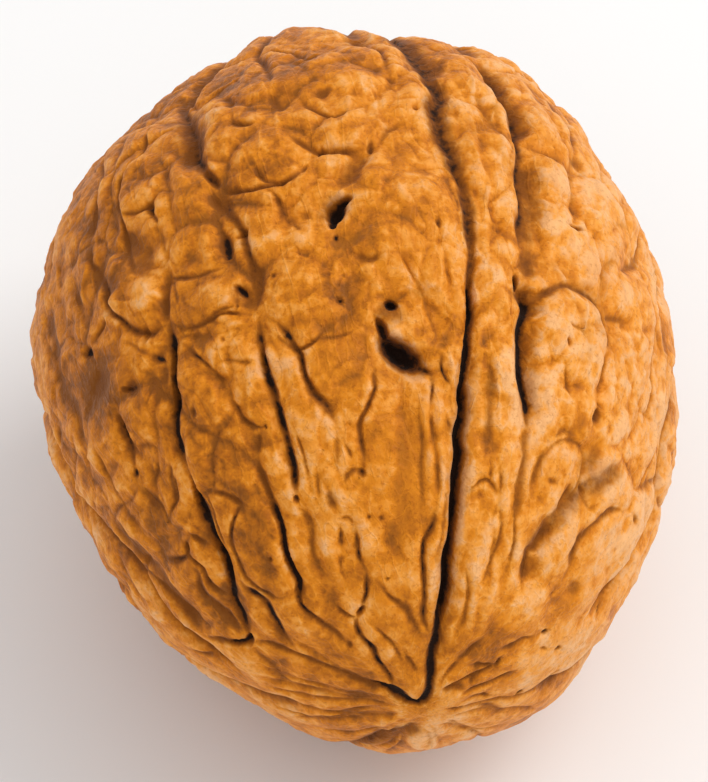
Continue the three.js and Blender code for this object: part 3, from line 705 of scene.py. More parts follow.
    Groove(GROOVE, 0.12, 0.14, 0.46, ((-48.2, 58.6), (-47, 57.6))),
    Groove(GROOVE, 0.20, 0.20, 0.38, ((-50.4, 55.2), (-48, 54.8), (-44.6, 53.4), (-42.6, 53))),
    Groove(GROOVE, 0.16, 0.28, 0.60, (
        (-56.4, 62.4), (-54.6, 59.6), (-52.8, 56.8), (-51, 53.6), (-50.4, 50.4),
    )),
    Groove(GROOVE, 0.15, 0.18, 0.42, ((-57, 63), (-54.6, 62.2), (-52.4, 61), (-50.6, 60.4))),
    Groove(GROOVE, 0.17, 0.30, 0.62, (
        (-64.2, 40.4), (-62.4, 39.4), (-60.4, 38.3), (-57.5, 35.6), (-55.4, 34.4),
    )),
    Groove(GROOVE, 0.15, 0.26, 0.60, (
        (-55, 34), (-57.6, 35.6), (-60.2, 35.4), (-63, 34.4), (-66, 32.4), (-68.4, 29.6), (-69, 26.6),
        (-66.6, 24.2), (-62.4, 23.4),
    )),
    Groove(GROOVE, 0.12, 0.24, 0.52, (
        (-64.6, 42), (-65.4, 39.4), (-66.4, 36.6), (-67.2, 34.2), (-69, 31.4),
    )),
    Groove(CRACK, 0.15, 0.28, 0.85, ((-60.2, 28.3), (-59.2, 27.8))),
    Groove(VALLEY, 0.26, 0.20, 0.60, ((-59, 51), (-57, 50.4))),
    Groove(GROOVE, 0.26, 0.44, 0.72, (
        (-70.5, 29.5), (-71.8, 28.2), (-71.7, 26.8), (-71.2, 25.2), (-71.6, 23.8), (-73.1, 22.7),
        (-74.6, 21.6), (-76.6, 20.6), (-78, 19.3), (-80, 17.8),
    )),
    Groove(GROOVE, 0.28, 0.48, 0.66, (
        (-74.3, 60), (-74.8, 57), (-75.4, 54.5), (-76.6, 52), (-77.5, 50.2),
    )),
    Groove(CRACK, 0.20, 0.32, 0.80, ((-77, 51.2), (-77.9, 49.2))),
    Groove(GROOVE, 0.24, 0.28, 0.48, (
        (-77.9, 49), (-78.3, 46.8), (-78.2, 44.8), (-78, 43), (-78.6, 41.4),
    )),
    Groove(GROOVE, 0.20, 0.26, 0.52, (
        (-67.4, 48.4), (-68.6, 47), (-70.5, 45), (-72.8, 42.5), (-74, 42.2), (-76.4, 42),
    )),
    Groove(VALLEY, 0.40, 0.22, 0.55, ((-73.6, 47.8), (-72.6, 46.8))),
    Groove(GROOVE, 0.20, 0.20, 0.40, ((-74.6, 53.4), (-71.3, 51.6), (-69.6, 50))),
    Groove(GROOVE, 0.22, 0.26, 0.52, ((-74.4, 38), (-73, 35.9), (-71.6, 34.3))),
    Groove(GROOVE, 0.20, 0.30, 0.66, (
        (-87, 39.4), (-84, 38), (-81.5, 36.8), (-79.2, 36.2), (-78.6, 34.6),
    )),
    Groove(CRACK, 0.15, 0.22, 0.75, ((-81.4, 36.9), (-79.6, 36.2))),
    Groove(VALLEY, 0.26, 0.22, 0.55, ((-77.6, 37.6), (-77.6, 36))),
    Groove(VALLEY, 0.55, 0.36, 0.46, (
        (-92, 52), (-92.6, 48), (-92, 43), (-93, 38), (-93.6, 35), (-95.3, 31), (-94.6, 29.4),
    )),
    Groove(GROOVE, 0.26, 0.36, 0.56, (
        (-79.6, 34.6), (-80.6, 33.4), (-83, 32.5), (-84.7, 31.2), (-85.6, 29), (-85.8, 27.2),
        (-86.8, 25.6), (-88.6, 23.8),
    )),
    Groove(VALLEY, 0.40, 0.30, 0.60, ((-104, 28.4), (-107.4, 28))),
    Groove(GROOVE, 0.26, 0.30, 0.50, ((-107, 28), (-110, 30), (-112, 33))),
    Groove(GROOVE, 0.22, 0.26, 0.44, (
        (-89, 23), (-91.5, 21.5), (-97, 19), (-101, 17), (-101, 13), (-103, 10.4),
    )),
    Groove(GROOVE, 0.18, 0.32, 0.52, (
        (-70, 2), (-66, 3.6), (-68, 5), (-71, 6.2), (-76, 7.7), (-78, 9.4), (-79, 11), (-80, 13),
        (-81, 14.5), (-82, 17), (-83, 18.6), (-84.4, 20.5), (-86.4, 22), (-88.8, 23.4),
    )),
    Groove(CRACK, 0.15, 0.30, 0.60, ((-81, 14.8), (-82, 17), (-83, 18.6))),
    Groove(GROOVE, 0.18, 0.36, 0.72, (
        (-62, 4), (-60, 5), (-54, 6.6), (-53, 8.2), (-52, 9.7), (-50, 11), (-50, 12.5), (-48.6, 14.5),
        (-45, 16), (-43, 16.3),
    )),
    Groove(GROOVE, 0.16, 0.30, 0.66, ((-43, 16.3), (-41, 17), (-38, 18), (-35.4, 19.6), (-34.2, 20.8))),
    Groove(GROOVE, 0.12, 0.16, 0.52, ((-51, 19), (-50, 17.5), (-47.5, 16), (-44, 16.2))),
    Groove(GROOVE, 0.20, 0.18, 0.34, ((-98, 22), (-97, 15), (-95, 10), (-92, 7), (-84, 4))),
    Groove(GROOVE, 0.20, 0.18, 0.34, ((-108, 20), (-108, 15), (-104, 10), (-98, 6))),
    Groove(GROOVE, 0.20, 0.20, 0.36, ((-119, 21), (-119, 14), (-118, 10), (-112, 7), (-100, 4.6))),
    Groove(GROOVE, 0.20, 0.20, 0.36, ((-127, 22), (-128, 15), (-126, 10), (-130, 6))),
    Groove(GROOVE, 0.18, 0.32, 0.54, (
        (-77.6, 48.6), (-81, 48.4), (-84.6, 48.8), (-88, 49.6), (-92, 50.4),
    )),
    Groove(GROOVE, 0.18, 0.32, 0.54, ((-77.4, 48.4), (-77.6, 46), (-77.2, 43.6), (-77.2, 41.4))),
    Groove(GROOVE, 0.16, 0.30, 0.52, (
        (-77.2, 41.4), (-74.6, 42.2), (-72, 42.6), (-70, 44.6), (-69, 47),
    )),
    Groove(GROOVE, 0.18, 0.32, 0.56, (
        (-73, 37.6), (-76.4, 37.4), (-79, 36.4), (-78.4, 33.6), (-80.4, 31.4), (-80, 29.4), (-79, 27.4),
    )),
    Groove(GROOVE, 0.20, 0.34, 0.52, (
        (-98, 45), (-96, 42), (-95.2, 38.4), (-94.4, 35), (-94, 32), (-93, 28.6),
    )),
    Groove(VALLEY, 0.50, 0.24, 0.50, ((-96.6, 73), (-96, 69))),
    Groove(VALLEY, 0.50, 0.26, 0.34, ((-88, 92), (-86.6, 84), (-87.6, 76), (-86, 68), (-88, 60))),
    Groove(GROOVE, 0.22, 0.22, 0.36, ((-83, 60), (-84.6, 54), (-86, 48), (-85, 43))),
)

PITS = (
    Pit((-13.9, 48.3), 1.20, 0.62, -50, 1.7, 1.0),
    Pit((-11.9, 46.9), 0.55, 0.40, -55, 1.4, 1.0),
    Pit((-17.0, 52.2), 0.70, 0.30, -20, 0.9, 0.85),
    Pit((-9.4, 45.7), 0.50, 0.18, -70, 0.5, 0.75),
    Pit((-15.1, 56.3), 0.36, 0.26, -70, 0.9, 1.0),
    Pit((-22.5, 75.4), 0.58, 0.48, 12, 1.3, 1.0),
    Pit((-21.2, 76.8), 0.48, 0.26, 78, 1.0, 1.0),
    Pit((-23.2, 73.4), 0.40, 0.24, 10, 0.8, 0.95),
    Pit((11.2, 62), 0.36, 0.17, 0, 0.8, 1.0),
    Pit((-43.8, 90), 0.85, 0.24, -22, 0.45, 0.75),
    Pit((-42.2, 64.9), 0.46, 0.18, -25, 0.5, 0.9),
    Pit((-69.4, 61), 0.40, 0.14, -55, 0.4, 0.75),
    Pit((-43, 16.3), 0.32, 0.15, 60, 0.3, 0.75),
    Pit((-41.3, 44.7), 0.26, 0.14, 0, 0.4, 0.9),
    Pit((-44.7, 33.1), 0.22, 0.13, 0, 0.3, 0.8),
    Pit((-88.6, 23.5), 0.34, 0.20, 70, 0.6, 0.9),
)

TOP_GROOVES = (
    Groove(VALLEY, 0.60, 0.45, 0.46, ((24, 165), (18, 150), (16, 138), (14.4, 124))),
    Groove(VALLEY, 0.55, 0.40, 0.44, ((-20, 166), (-15, 152), (-13, 140), (-12.8, 131))),
    Groove(VALLEY, 0.65, 0.50, 0.48, ((-30, 168), (-42, 152), (-49, 134), (-52, 118))),
    Groove(GROOVE, 0.30, 0.34, 0.42, ((-30, 156), (-34, 142), (-36, 130), (-32, 118), (-31.4, 110))),
    Groove(GROOVE, 0.32, 0.38, 0.44, ((-62, 160), (-71, 138), (-73, 122), (-69, 106), (-70.4, 92))),
    Groove(GROOVE, 0.34, 0.42, 0.46, ((-96, 152), (-88, 132), (-90, 114), (-87, 102), (-88, 92))),
    Groove(GROOVE, 0.30, 0.34, 0.42, ((40, 160), (31, 142), (34, 124), (32, 110), (29, 98))),
    Groove(GROOVE, 0.30, 0.34, 0.42, (
        (60, 154), (52, 136), (49, 120), (45, 106), (47, 92), (45, 82), (38, 74.5),
    )),
    Groove(GROOVE, 0.28, 0.30, 0.40, ((62, 120), (58, 104), (60, 92), (56, 82), (52, 73))),
    Groove(GROOVE, 0.24, 0.26, 0.38, ((-12.8, 131), (-9, 120), (-8, 109))),
    Groove(GROOVE, 0.24, 0.26, 0.38, ((16, 138), (24, 130), (33, 126))),
    Groove(GROOVE, 0.24, 0.26, 0.38, ((-36, 130), (-28, 126), (-23, 119))),
)

RIBS = (
    Rib(0.85, 0.36, ((7.2, 126), (8, 118), (8.6, 110), (11.6, 104), (12.2, 98))),
    Rib(0.95, 0.40, ((9.4, 98), (10.4, 92), (10.4, 86), (10.6, 80), (10.4, 74), (9.6, 70))),
    Rib(1.00, 0.34, ((8.4, 72), (8, 66), (7, 60), (8.6, 56), (7.4, 50), (8.6, 45), (8.4, 40))),
    Rib(0.60, 0.22, ((11, 57), (10.2, 52), (11, 47), (11.6, 43), (12.4, 38))),
    Rib(0.70, 0.24, ((10.8, 38), (11.6, 33), (12, 28), (10, 24), (7.6, 20), (9, 16))),
    Rib(0.40, 0.24, ((5, 98), (4.6, 90), (5, 82), (5.4, 76), (5, 68), (4.2, 60))),
    Rib(0.42, 0.20, (
        (3.6, 56), (2.6, 50), (1.8, 45), (1.2, 38), (0.6, 31), (0, 24), (-0.6, 17), (-1, 12),
    )),
    Rib(0.42, 0.20, (
        (-1.4, 60), (-1.8, 52), (-3, 45), (-3.8, 38), (-4.2, 31), (-5.4, 24), (-6.6, 17), (-8.6, 12),
    )),
    Rib(0.80, 0.22, ((-6, 126), (-5, 116), (-4.4, 106), (-4.8, 98))),
    Rib(0.55, 0.22, (
        (-53, 104), (-50.6, 98), (-49, 92), (-47.6, 86), (-46.6, 80), (-46.2, 74), (-46, 69),
    )),
    Rib(0.60, 0.24, ((-41, 92), (-39.6, 88), (-37.6, 84))),
    Rib(0.45, 0.24, ((-44.6, 58), (-44.4, 53), (-44.4, 48), (-44.6, 43), (-45.8, 38), (-47, 34))),
    Rib(0.40, 0.20, ((-38.4, 54), (-38.4, 49), (-38.4, 44), (-38.6, 40))),
    Rib(0.30, 0.26, ((-55.4, 57.6), (-53.6, 54.4), (-52.2, 51), (-51, 48))),
    Rib(0.45, 0.24, ((-67.4, 54), (-67.6, 50), (-67.8, 46))),
    Rib(0.30, 0.24, ((-64.4, 38.6), (-65.8, 35), (-67.4, 32), (-69.4, 29.6))),
    Rib(0.50, 0.24, ((-54.4, 33), (-56, 29.4), (-58.6, 26), (-61, 22.6))),
    Rib(0.42, 0.24, ((-42, 28.6), (-43, 25.6), (-43.4, 22.6), (-46, 19.4))),
    Rib(0.36, 0.20, ((-31.4, 27.6), (-31, 24.6), (-31.6, 22))),
    Rib(0.40, 0.24, ((-77.6, 26), (-79, 23), (-80.4, 20.4))),
    Rib(0.34, 0.18, ((-72.6, 52), (-74.6, 48.6), (-75.6, 45.6))),
    Rib(0.40, 0.20, ((-62, 78), (-60, 74.6), (-60.4, 70.6))),
    Rib(0.30, 0.16, ((5.5, 24), (6.5, 22), (7, 20), (10, 15), (12, 11))),
    Rib(0.34, 0.18, ((15, 21), (17, 18), (18, 15.4), (22, 12))),
    Rib(0.34, 0.28, ((150, 3.4), (151, 6), (150, 9))),
    Rib(0.40, 0.22, ((33.4, 36), (35.6, 33.6), (36.6, 31.4), (37, 28.6))),
    Rib(0.36, 0.18, ((45, 30), (46, 27), (48, 24.4))),
    Rib(0.36, 0.22, ((17.6, 34), (18.6, 30), (20.6, 26), (23, 22))),
    Rib(0.36, 0.20, ((38, 24), (39, 28), (42, 32), (47, 36))),
    Rib(0.40, 0.26, ((-6, 43), (-6.4, 39), (-6.2, 35), (-5.8, 31), (-7, 26), (-9, 20))),
    Rib(0.40, 0.20, ((-9.6, 44), (-9.8, 40), (-9.6, 36), (-9.6, 32), (-10.4, 28))),
    Rib(0.50, 0.22, ((29.6, 53), (30, 49), (29.4, 45), (30.6, 41.6))),
    Rib(0.55, 0.20, ((45.4, 60), (45.6, 55), (45, 50), (46, 45), (50, 40))),
    Rib(0.50, 0.20, ((57, 56), (56.6, 52), (57.6, 47))),
)

PLATES = (
    Plate((-10.5, 72.5), 3.3, 0.50, 1.05),
    Plate((-19.6, 53.4), 1.5, 0.26),
    Plate((-22, 62), 1.7, 0.30),
    Plate((-25.6, 66.6), 1.7, 0.26),
    Plate((-31.6, 60.6), 2.3, 0.32, 1.3),
    Plate((-31.4, 69.8), 1.5, 0.24),
    Plate((-36, 71.4), 1.6, 0.24),
    Plate((-25, 48.6), 2.1, 0.20, 1.2),
    Plate((-36.6, 40), 1.8, 0.26, 1.9),
    Plate((-28, 44.6), 1.2, 0.14, 1.6),
    Plate((-37.8, 50), 1.2, 0.18, 1.6),
    Plate((-46.6, 66.8), 1.5, 0.28, 1.1),
    Plate((-51, 66.8), 1.5, 0.22, 1.3),
    Plate((-47.6, 56), 1.3, 0.20, 1.3),
    Plate((-46.4, 49.4), 1.3, 0.20, 1.4),
    Plate((-48, 37.4), 1.2, 0.20, 1.9),
    Plate((-56.6, 55.4), 1.2, 0.24, 1.6),
    Plate((-57.6, 44.6), 2.1, 0.30, 1.5),
    Plate((-59.6, 31.6), 1.8, 0.24, 1.2),
    Plate((-66.8, 27.4), 1.2, 0.20, 1.6),
    Plate((-64, 22), 1.5, 0.22, 1.4),
    Plate((-63.6, 75.6), 1.8, 0.28, 1.3),
    Plate((-67.4, 65.6), 1.7, 0.24, 1.2),
    Plate((-68.6, 55.6), 1.5, 0.20, 1.2),
    Plate((-71, 41.6), 1.3, 0.16, 1.3),
    Plate((-76.4, 32.8), 1.3, 0.16, 1.3),
    Plate((-83.6, 48), 2.2, 0.22, 1.2),
    Plate((-81.4, 57.6), 1.9, 0.20, 1.2),
    Plate((-86, 33.6), 1.6, 0.18, 1.2),
    Plate((-98, 24.6), 1.5, 0.18, 1.2),
    Plate((-101, 34.6), 2.1, 0.20, 1.2),
    Plate((-59, 97), 1.7, 0.24, 1.4),
    Plate((-51.6, 84), 1.7, 0.20, 1.5),
    Plate((-41.6, 95), 1.5, 0.24, 1.1),
    Plate((-35.6, 94), 2.0, 0.26),
    Plate((-36.6, 79.6), 1.6, 0.22, 1.1),
    Plate((-26, 83.2), 1.5, 0.18),
    Plate((-27, 97), 1.7, 0.20),
    Plate((-18, 97), 2.0, 0.22),
    Plate((-33.6, 114), 1.8, 0.24, 1.2),
    Plate((-25, 110), 1.5, 0.22, 1.3),
    Plate((-16, 112), 2.0, 0.22, 1.2),
    Plate((-8.4, 114), 1.5, 0.18, 1.2),
    Plate((-44, 106), 1.4, 0.20, 1.4),
    Plate((-64, 106), 1.5, 0.20, 1.5),
    Plate((24.6, 57.4), 2.45, 0.42, 1.15),
    Plate((26.6, 73.2), 1.5, 0.26),
    Plate((21.2, 87), 1.3, 0.26, 1.1),
    Plate((20.4, 77.6), 1.1, 0.20, 1.4),
    Plate((36.6, 69.6), 1.4, 0.24, 1.3),
    Plate((33.6, 83), 1.7, 0.22, 1.2),
    Plate((38.6, 92), 2.0, 0.22, 1.2),
    Plate((25, 103), 1.7, 0.20, 1.3),
    Plate((28.6, 44), 1.3, 0.22, 1.2),
    Plate((38.6, 56), 1.5, 0.22, 1.3),
    Plate((45.4, 69), 1.8, 0.22, 1.3),
    Plate((40, 47), 1.4, 0.20, 1.6),
    Plate((37.4, 38.4), 0.9, 0.14, 1.5),
    Plate((43.6, 37), 1.5, 0.22, 1.5),
    Plate((25.6, 36.6), 1.1, 0.18, 1.5),
    Plate((37.6, 27), 1.2, 0.18, 1.3),
    Plate((21, 25.6), 1.1, 0.16, 1.3),
    Plate((52, 33), 1.7, 0.20, 1.4),
    Plate((62.6, 37), 1.8, 0.22, 1.3),
    Plate((56, 26), 1.4, 0.16, 1.2),
    Plate((40, 17), 1.2, 0.16, 1.2),
    Plate((17.6, 52.6), 1.1, 0.16, 1.5),
    Plate((18.6, 43.6), 1.3, 0.22, 1.5),
    Plate((62, 64), 2.0, 0.20, 1.3),
    Plate((0, 0), 2.2, 0.26, 1.0),
    Plate((166, 7.5), 0.9, 0.30, 2.2),
    Plate((210, 5.6), 0.9, 0.28, 1.0),
)

# Brown patches: partly the shell's own stains, partly painted shade: the broad ones over the lower left
# cheek, which faces away from the key light, and the soft dark spots near the left rim.
BROWN_AND_SHADE = (
    Patch((-61, 32), 1.6, 0.62),
    Patch((-57, 47), 1.7, 0.28),
    Patch((-64.6, 27.6), 1.5, 0.45),
    Patch((-62, 28), 0.9, 0.40),
    Patch((-62, 42.4), 1.2, 0.42),
    Patch((-76.4, 66.6), 2.2, 0.75),
    Patch((-76, 56), 2.4, 0.28),
    Patch((-86, 29), 2.6, 0.52),
    Patch((-88, 44), 3.2, 0.22),
    Patch((-72, 36), 2.2, 0.28),
    Patch((-96.6, 71), 1.8, 0.40),
    Patch((-66, 79), 1.6, 0.34),
    Patch((-72, 72), 2.4, 0.28),
    Patch((-68, 60), 2.2, 0.24),
    Patch((-48, 30.6), 1.3, 0.30),
    Patch((-23, 119), 1.3, 0.24),
    Patch((-44, 110), 1.4, 0.20),
    Patch((-66, 36), 3.4, 0.22),
    Patch((-48, 14), 3.0, 0.22),
    Patch((-82, 52), 6.0, 0.24),
    Patch((-78, 80), 5.0, 0.16),
    Patch((10, 8), 3.0, 0.30),
    Patch((30, 9), 1.6, 0.55),
    Patch((40, 4), 1.4, 0.40),
    Patch((-20, 6), 1.8, 0.30),
    Patch((-70, 6), 2.6, 0.40),
    Patch((-110, 9), 2.6, 0.30),
    Patch((-68, 52), 4.4, 0.16),
    Patch((-77, 39), 3.6, 0.48),
    Patch((-98, 22), 2.6, 0.34),
    Patch((-88, 74), 3.4, 0.34),
    Patch((-23, 66), 2.0, 0.40),
    Patch((-24, 58), 2.4, 0.46),
    Patch((-9, 116), 2.2, 0.36),
    Patch((-77, 78), 2.6, 0.42),
    Patch((-40, 3), 2.0, 0.50),
    Patch((34, 45), 1.3, 0.40),
    Patch((30, 23), 1.5, 0.30),
    Patch((-16.5, 57), 1.0, 0.40),
    Patch((40, 5), 1.8, 0.45),
    Patch((92, 18), 0.9, 0.40),
)

ORANGE = (
    Patch((-16, 33), 2.6, 0.75),
    Patch((-9, 40), 2.2, 0.60),
    Patch((-4, 38), 1.6, 0.35),
    Patch((-30, 49), 2.2, 0.55),
    Patch((-38, 50), 2.4, 0.40),
    Patch((-42, 46), 2.0, 0.35),
    Patch((-25, 36), 2.0, 0.30),
    Patch((-8, 62), 2.2, 0.35),
    Patch((-12, 80), 2.6, 0.35),
    Patch((-22, 70), 1.6, 0.40),
    Patch((-20, 98), 2.6, 0.30),
    Patch((-26, 76), 1.8, 0.40),
    Patch((-49, 60), 1.8, 0.30),
    Patch((-46, 52), 1.6, 0.35),
    Patch((-53, 84), 2.4, 0.30),
    Patch((17.6, 95), 1.8, 0.50),
    Patch((17, 66), 1.8, 0.45),
    Patch((31, 68), 1.6, 0.55),
    Patch((36, 75), 1.4, 0.45),
    Patch((34, 59), 1.3, 0.60),
    Patch((17, 82), 1.2, 0.45),
    Patch((51, 66), 1.4, 0.45),
    Patch((36, 39), 1.2, 0.60),
    Patch((27, 35), 1.4, 0.35),
    Patch((52, 52), 1.6, 0.25),
    Patch((57, 23.6), 1.4, 0.50),
    Patch((74, 27), 1.0, 0.40),
    Patch((45, 27), 1.2, 0.40),
    Patch((6, 96), 1.6, 0.35),
    Patch((6.6, 86), 1.0, 0.55),
    Patch((-6, 25), 1.4, 0.20),
)

# Pale patches: partly the shell's own paler skin, partly painted light: those on the right cheek and along
# the rib beside the seam stand for the key light from the right, and the broad ones at the far left rim
# are painted reflection of the white room.
PALE_AND_LIT = (
    Patch((10, 106), 1.4, 0.85),
    Patch((12, 100), 0.9, 0.60),
    Patch((10.6, 90), 1.1, 0.85),
    Patch((10.4, 79), 1.3, 0.90),
    Patch((7, 66), 1.7, 0.65),
    Patch((9, 56), 1.4, 0.60),
    Patch((9.4, 47), 1.5, 0.60),
    Patch((10.4, 40), 1.4, 0.50),
    Patch((12, 31), 1.5, 0.45),
    Patch((25, 57), 2.6, 0.75),
    Patch((27, 73), 1.6, 0.75),
    Patch((21, 87), 1.3, 0.60),
    Patch((21, 77), 1.1, 0.50),
    Patch((37, 70), 1.8, 0.60),
    Patch((30, 88), 2.6, 0.60),
    Patch((36, 95), 3.0, 0.60),
    Patch((27, 106), 2.2, 0.45),
    Patch((43, 82), 2.6, 0.55),
    Patch((40, 55), 2.2, 0.60),
    Patch((40, 46), 2.0, 0.50),
    Patch((44, 37), 2.2, 0.60),
    Patch((54, 34), 2.6, 0.60),
    Patch((62, 40), 3.0, 0.60),
    Patch((58, 56), 3.0, 0.50),
    Patch((60, 28), 2.4, 0.50),
    Patch((48, 18), 1.8, 0.35),
    Patch((75, 22), 3.0, 0.45),
    Patch((95, 12), 2.2, 0.30),
    Patch((-32, 60), 1.5, 0.25),
    Patch((-36.6, 40), 1.6, 0.40),
    Patch((-32, 69), 1.2, 0.25),
    Patch((-41, 94), 1.4, 0.60),
    Patch((-27, 86), 1.6, 0.35),
    Patch((-17, 103), 1.8, 0.40),
    Patch((-18, 119), 1.8, 0.45),
    Patch((-60, 76), 1.5, 0.40),
    Patch((-53, 104), 1.6, 0.45),
    Patch((-44, 23), 1.2, 0.60),
    Patch((-46, 28), 2.2, 0.55),
    Patch((-38, 51), 1.8, 0.45),
    Patch((-56, 50), 1.5, 0.40),
    Patch((-61, 41), 1.4, 0.40),
    Patch((-59, 25.4), 1.1, 0.50),
    Patch((-74, 17), 1.8, 0.45),
    Patch((-42, 14), 1.8, 0.40),
    Patch((-52, 56), 2.0, 0.35),
    Patch((-56, 44), 1.8, 0.35),
    Patch((-42, 108), 2.0, 0.30),
    Patch((-31, 22), 1.1, 0.50),
    Patch((-50, 40), 1.5, 0.35),
    Patch((-52, 47), 1.3, 0.35),
    Patch((-54, 27.6), 1.2, 0.35),
    Patch((-100, 60), 4.6, 0.60),
    Patch((-94, 80), 4.0, 0.55),
    Patch((-112, 44), 4.6, 0.60),
    Patch((-124, 30), 4.0, 0.60),
    Patch((-84, 100), 4.0, 0.40),
    Patch((150, 7), 1.4, 0.55),
    Patch((15, 19), 1.4, 0.45),
)


def far_grooves() -> list[Groove]:
    """Lays long wandering grooves with short branches over the side away from the seam's top.

    Returns:
        The grooves. Sines of their number keep them from running alike.
    """
    first_round, apart, count, bends, branches = 70.0, 15.5, 13, 14, 3
    grooves: list[Groove] = []
    for index in range(count):
        start = 24 + 10 * math.sin(index * 2.1)
        end = 156 + 9 * math.cos(index * 1.7)
        middle = first_round + apart * index
        path: list[Place] = []
        for share in np.linspace(0.0, 1.0, bends):
            along = start + (end - start) * share
            sway = 3.6 * math.sin(along * 0.075 + index * 1.9) + 2.4 * math.sin(along * 0.19 + index)
            path.append((middle + sway, along))
        depth = 0.55 + 0.16 * math.sin(index * 2.7)
        grooves.append(Groove(GROOVE, 0.36, depth, 0.52, tuple(path)))
        grooves.append(Groove(VALLEY, 0.85, 0.30, 0.28, tuple(path)))
        for branch in range(branches):
            along = 48 + 36 * branch + 13 * math.sin(index * 2.4 + branch)
            lean = 8 * math.sin(index * 1.3 + 2 * branch)
            across = (
                (middle + 1, along),
                (middle + 6, along + lean),
                (middle + apart - 1, along + 0.6 * lean),
            )
            grooves.append(Groove(GROOVE, 0.26, 0.32, 0.42, across))
    return grooves


def end_wrinkles() -> list[Groove]:
    """Draws the short wrinkles that run in to the tip and to the stem scar.

    Returns:
        The wrinkles. At the tip they keep to its under side, because the rest is listed one by one.
    """
    rng = np.random.default_rng(12)
    under_side, all_round, stem = range(100, 283, 13), range(0, 360, 15), 176.0
    grooves: list[Groove] = []
    for turn in under_side:
        first = rng.uniform(2.4, 4.0)
        last = rng.uniform(12.0, 22.0)
        sway = rng.uniform(-7.0, 7.0, 3)
        path = (
            (turn + sway[0] * 2, first),
            (turn + sway[1], 0.5 * (first + last)),
            (turn + 0.6 * sway[2], last),
        )
        grooves.append(Groove(GROOVE, 0.20, rng.uniform(0.12, 0.26), rng.uniform(0.25, 0.45), path))
    for turn in all_round:
        last = rng.uniform(150, 164)
        sway = rng.uniform(-5.0, 5.0, 2)
        path = ((turn + sway[0] * 2, stem), (turn + sway[1], 0.5 * (stem + last)), (turn, last))
        grooves.append(Groove(GROOVE, 0.24, rng.uniform(0.25, 0.45), rng.uniform(0.4, 0.6), path))
    return grooves


def smooth_path(form: ShellForm, path: Sequence[Place], step: float = 0.25) -> Array:
    """Draws a smooth line on the shell through a few places, as a Catmull-Rom spline.

    Args:
        form: The smooth form that the line lies on.
        path: The places it passes through.
        step: Rough gap between the points given back, in millimetres.

    Returns:
        Points on the smooth form in millimetres, one a row.
    """
    knots = directions(path)
    ends = np.vstack([2 * knots[:1] - knots[1:2], knots, 2 * knots[-1:] - knots[-2:-1]])
    points = []
    for before, start, stop, after in zip(ends, ends[1:], ends[2:], ends[3:]):
        length = MEAN_RADIUS * float(np.linalg.norm(stop - start))
        share = np.linspace(0.0, 1.0, max(2, int(length / step)), endpoint=False)[:, None]
        points.append(
            0.5
            * (
                2 * start
                + (stop - before) * share
                + (2 * before - 5 * start + 4 * stop - after) * share**2
                + (3 * start - before - 3 * stop + after) * share**3
            )
        )
    line = np.vstack([*points, knots[-1:]])
    return form.surface(line / np.linalg.norm(line, axis=1)[:, None])


@dataclass(frozen=True)
class CracklePattern:
    """How the skin between the grooves breaks into small plates. Millimetres, or shares of a plate."""

    squeeze: float = 0.62
    wander: float = 0.35
    wander_size: float = 1.6
    strength_size: float = 5.0
    big_size: float = 3.1
    small_size: float = 1.35
    big_line: float = 0.13
    small_line: float = 0.15
    line_power: float = 1.5
    big_depth: float = 0.14
    small_depth: float = 0.055
    dome_height: float = 0.14
    big_step: float = 0.09
    small_step: float = 0.04
    # How dark the plates' edges are painted: partly their own brown, partly painted shade in the wrinkles
    # between them.
    big_stain_and_shade: float = 0.26
    small_stain_and_shade: float = 0.08


@dataclass(frozen=True)
class WoodyPattern:
    """The skin's own lumps, folds, raised veins and sunk creases. Sizes are in millimetres."""

    squeeze: float = 0.5
    wander: float = 0.5
    wander_size: float = 2.2
    strength_size: float = 3.6
    lump_size: float = 4.2
    lump_height: float = 0.13
    fold_size: float = 1.6
    fold_height: float = 0.075
    vein_size: float = 1.55
    vein_line: float = 0.13
    vein_height: float = 0.100
    crease_size: float = 1.15
    crease_line: float = 0.085
    crease_depth: float = 0.055
    # How dark the creases are painted: partly their own brown, partly painted shade in them.
    crease_stain_and_shade: float = 0.22


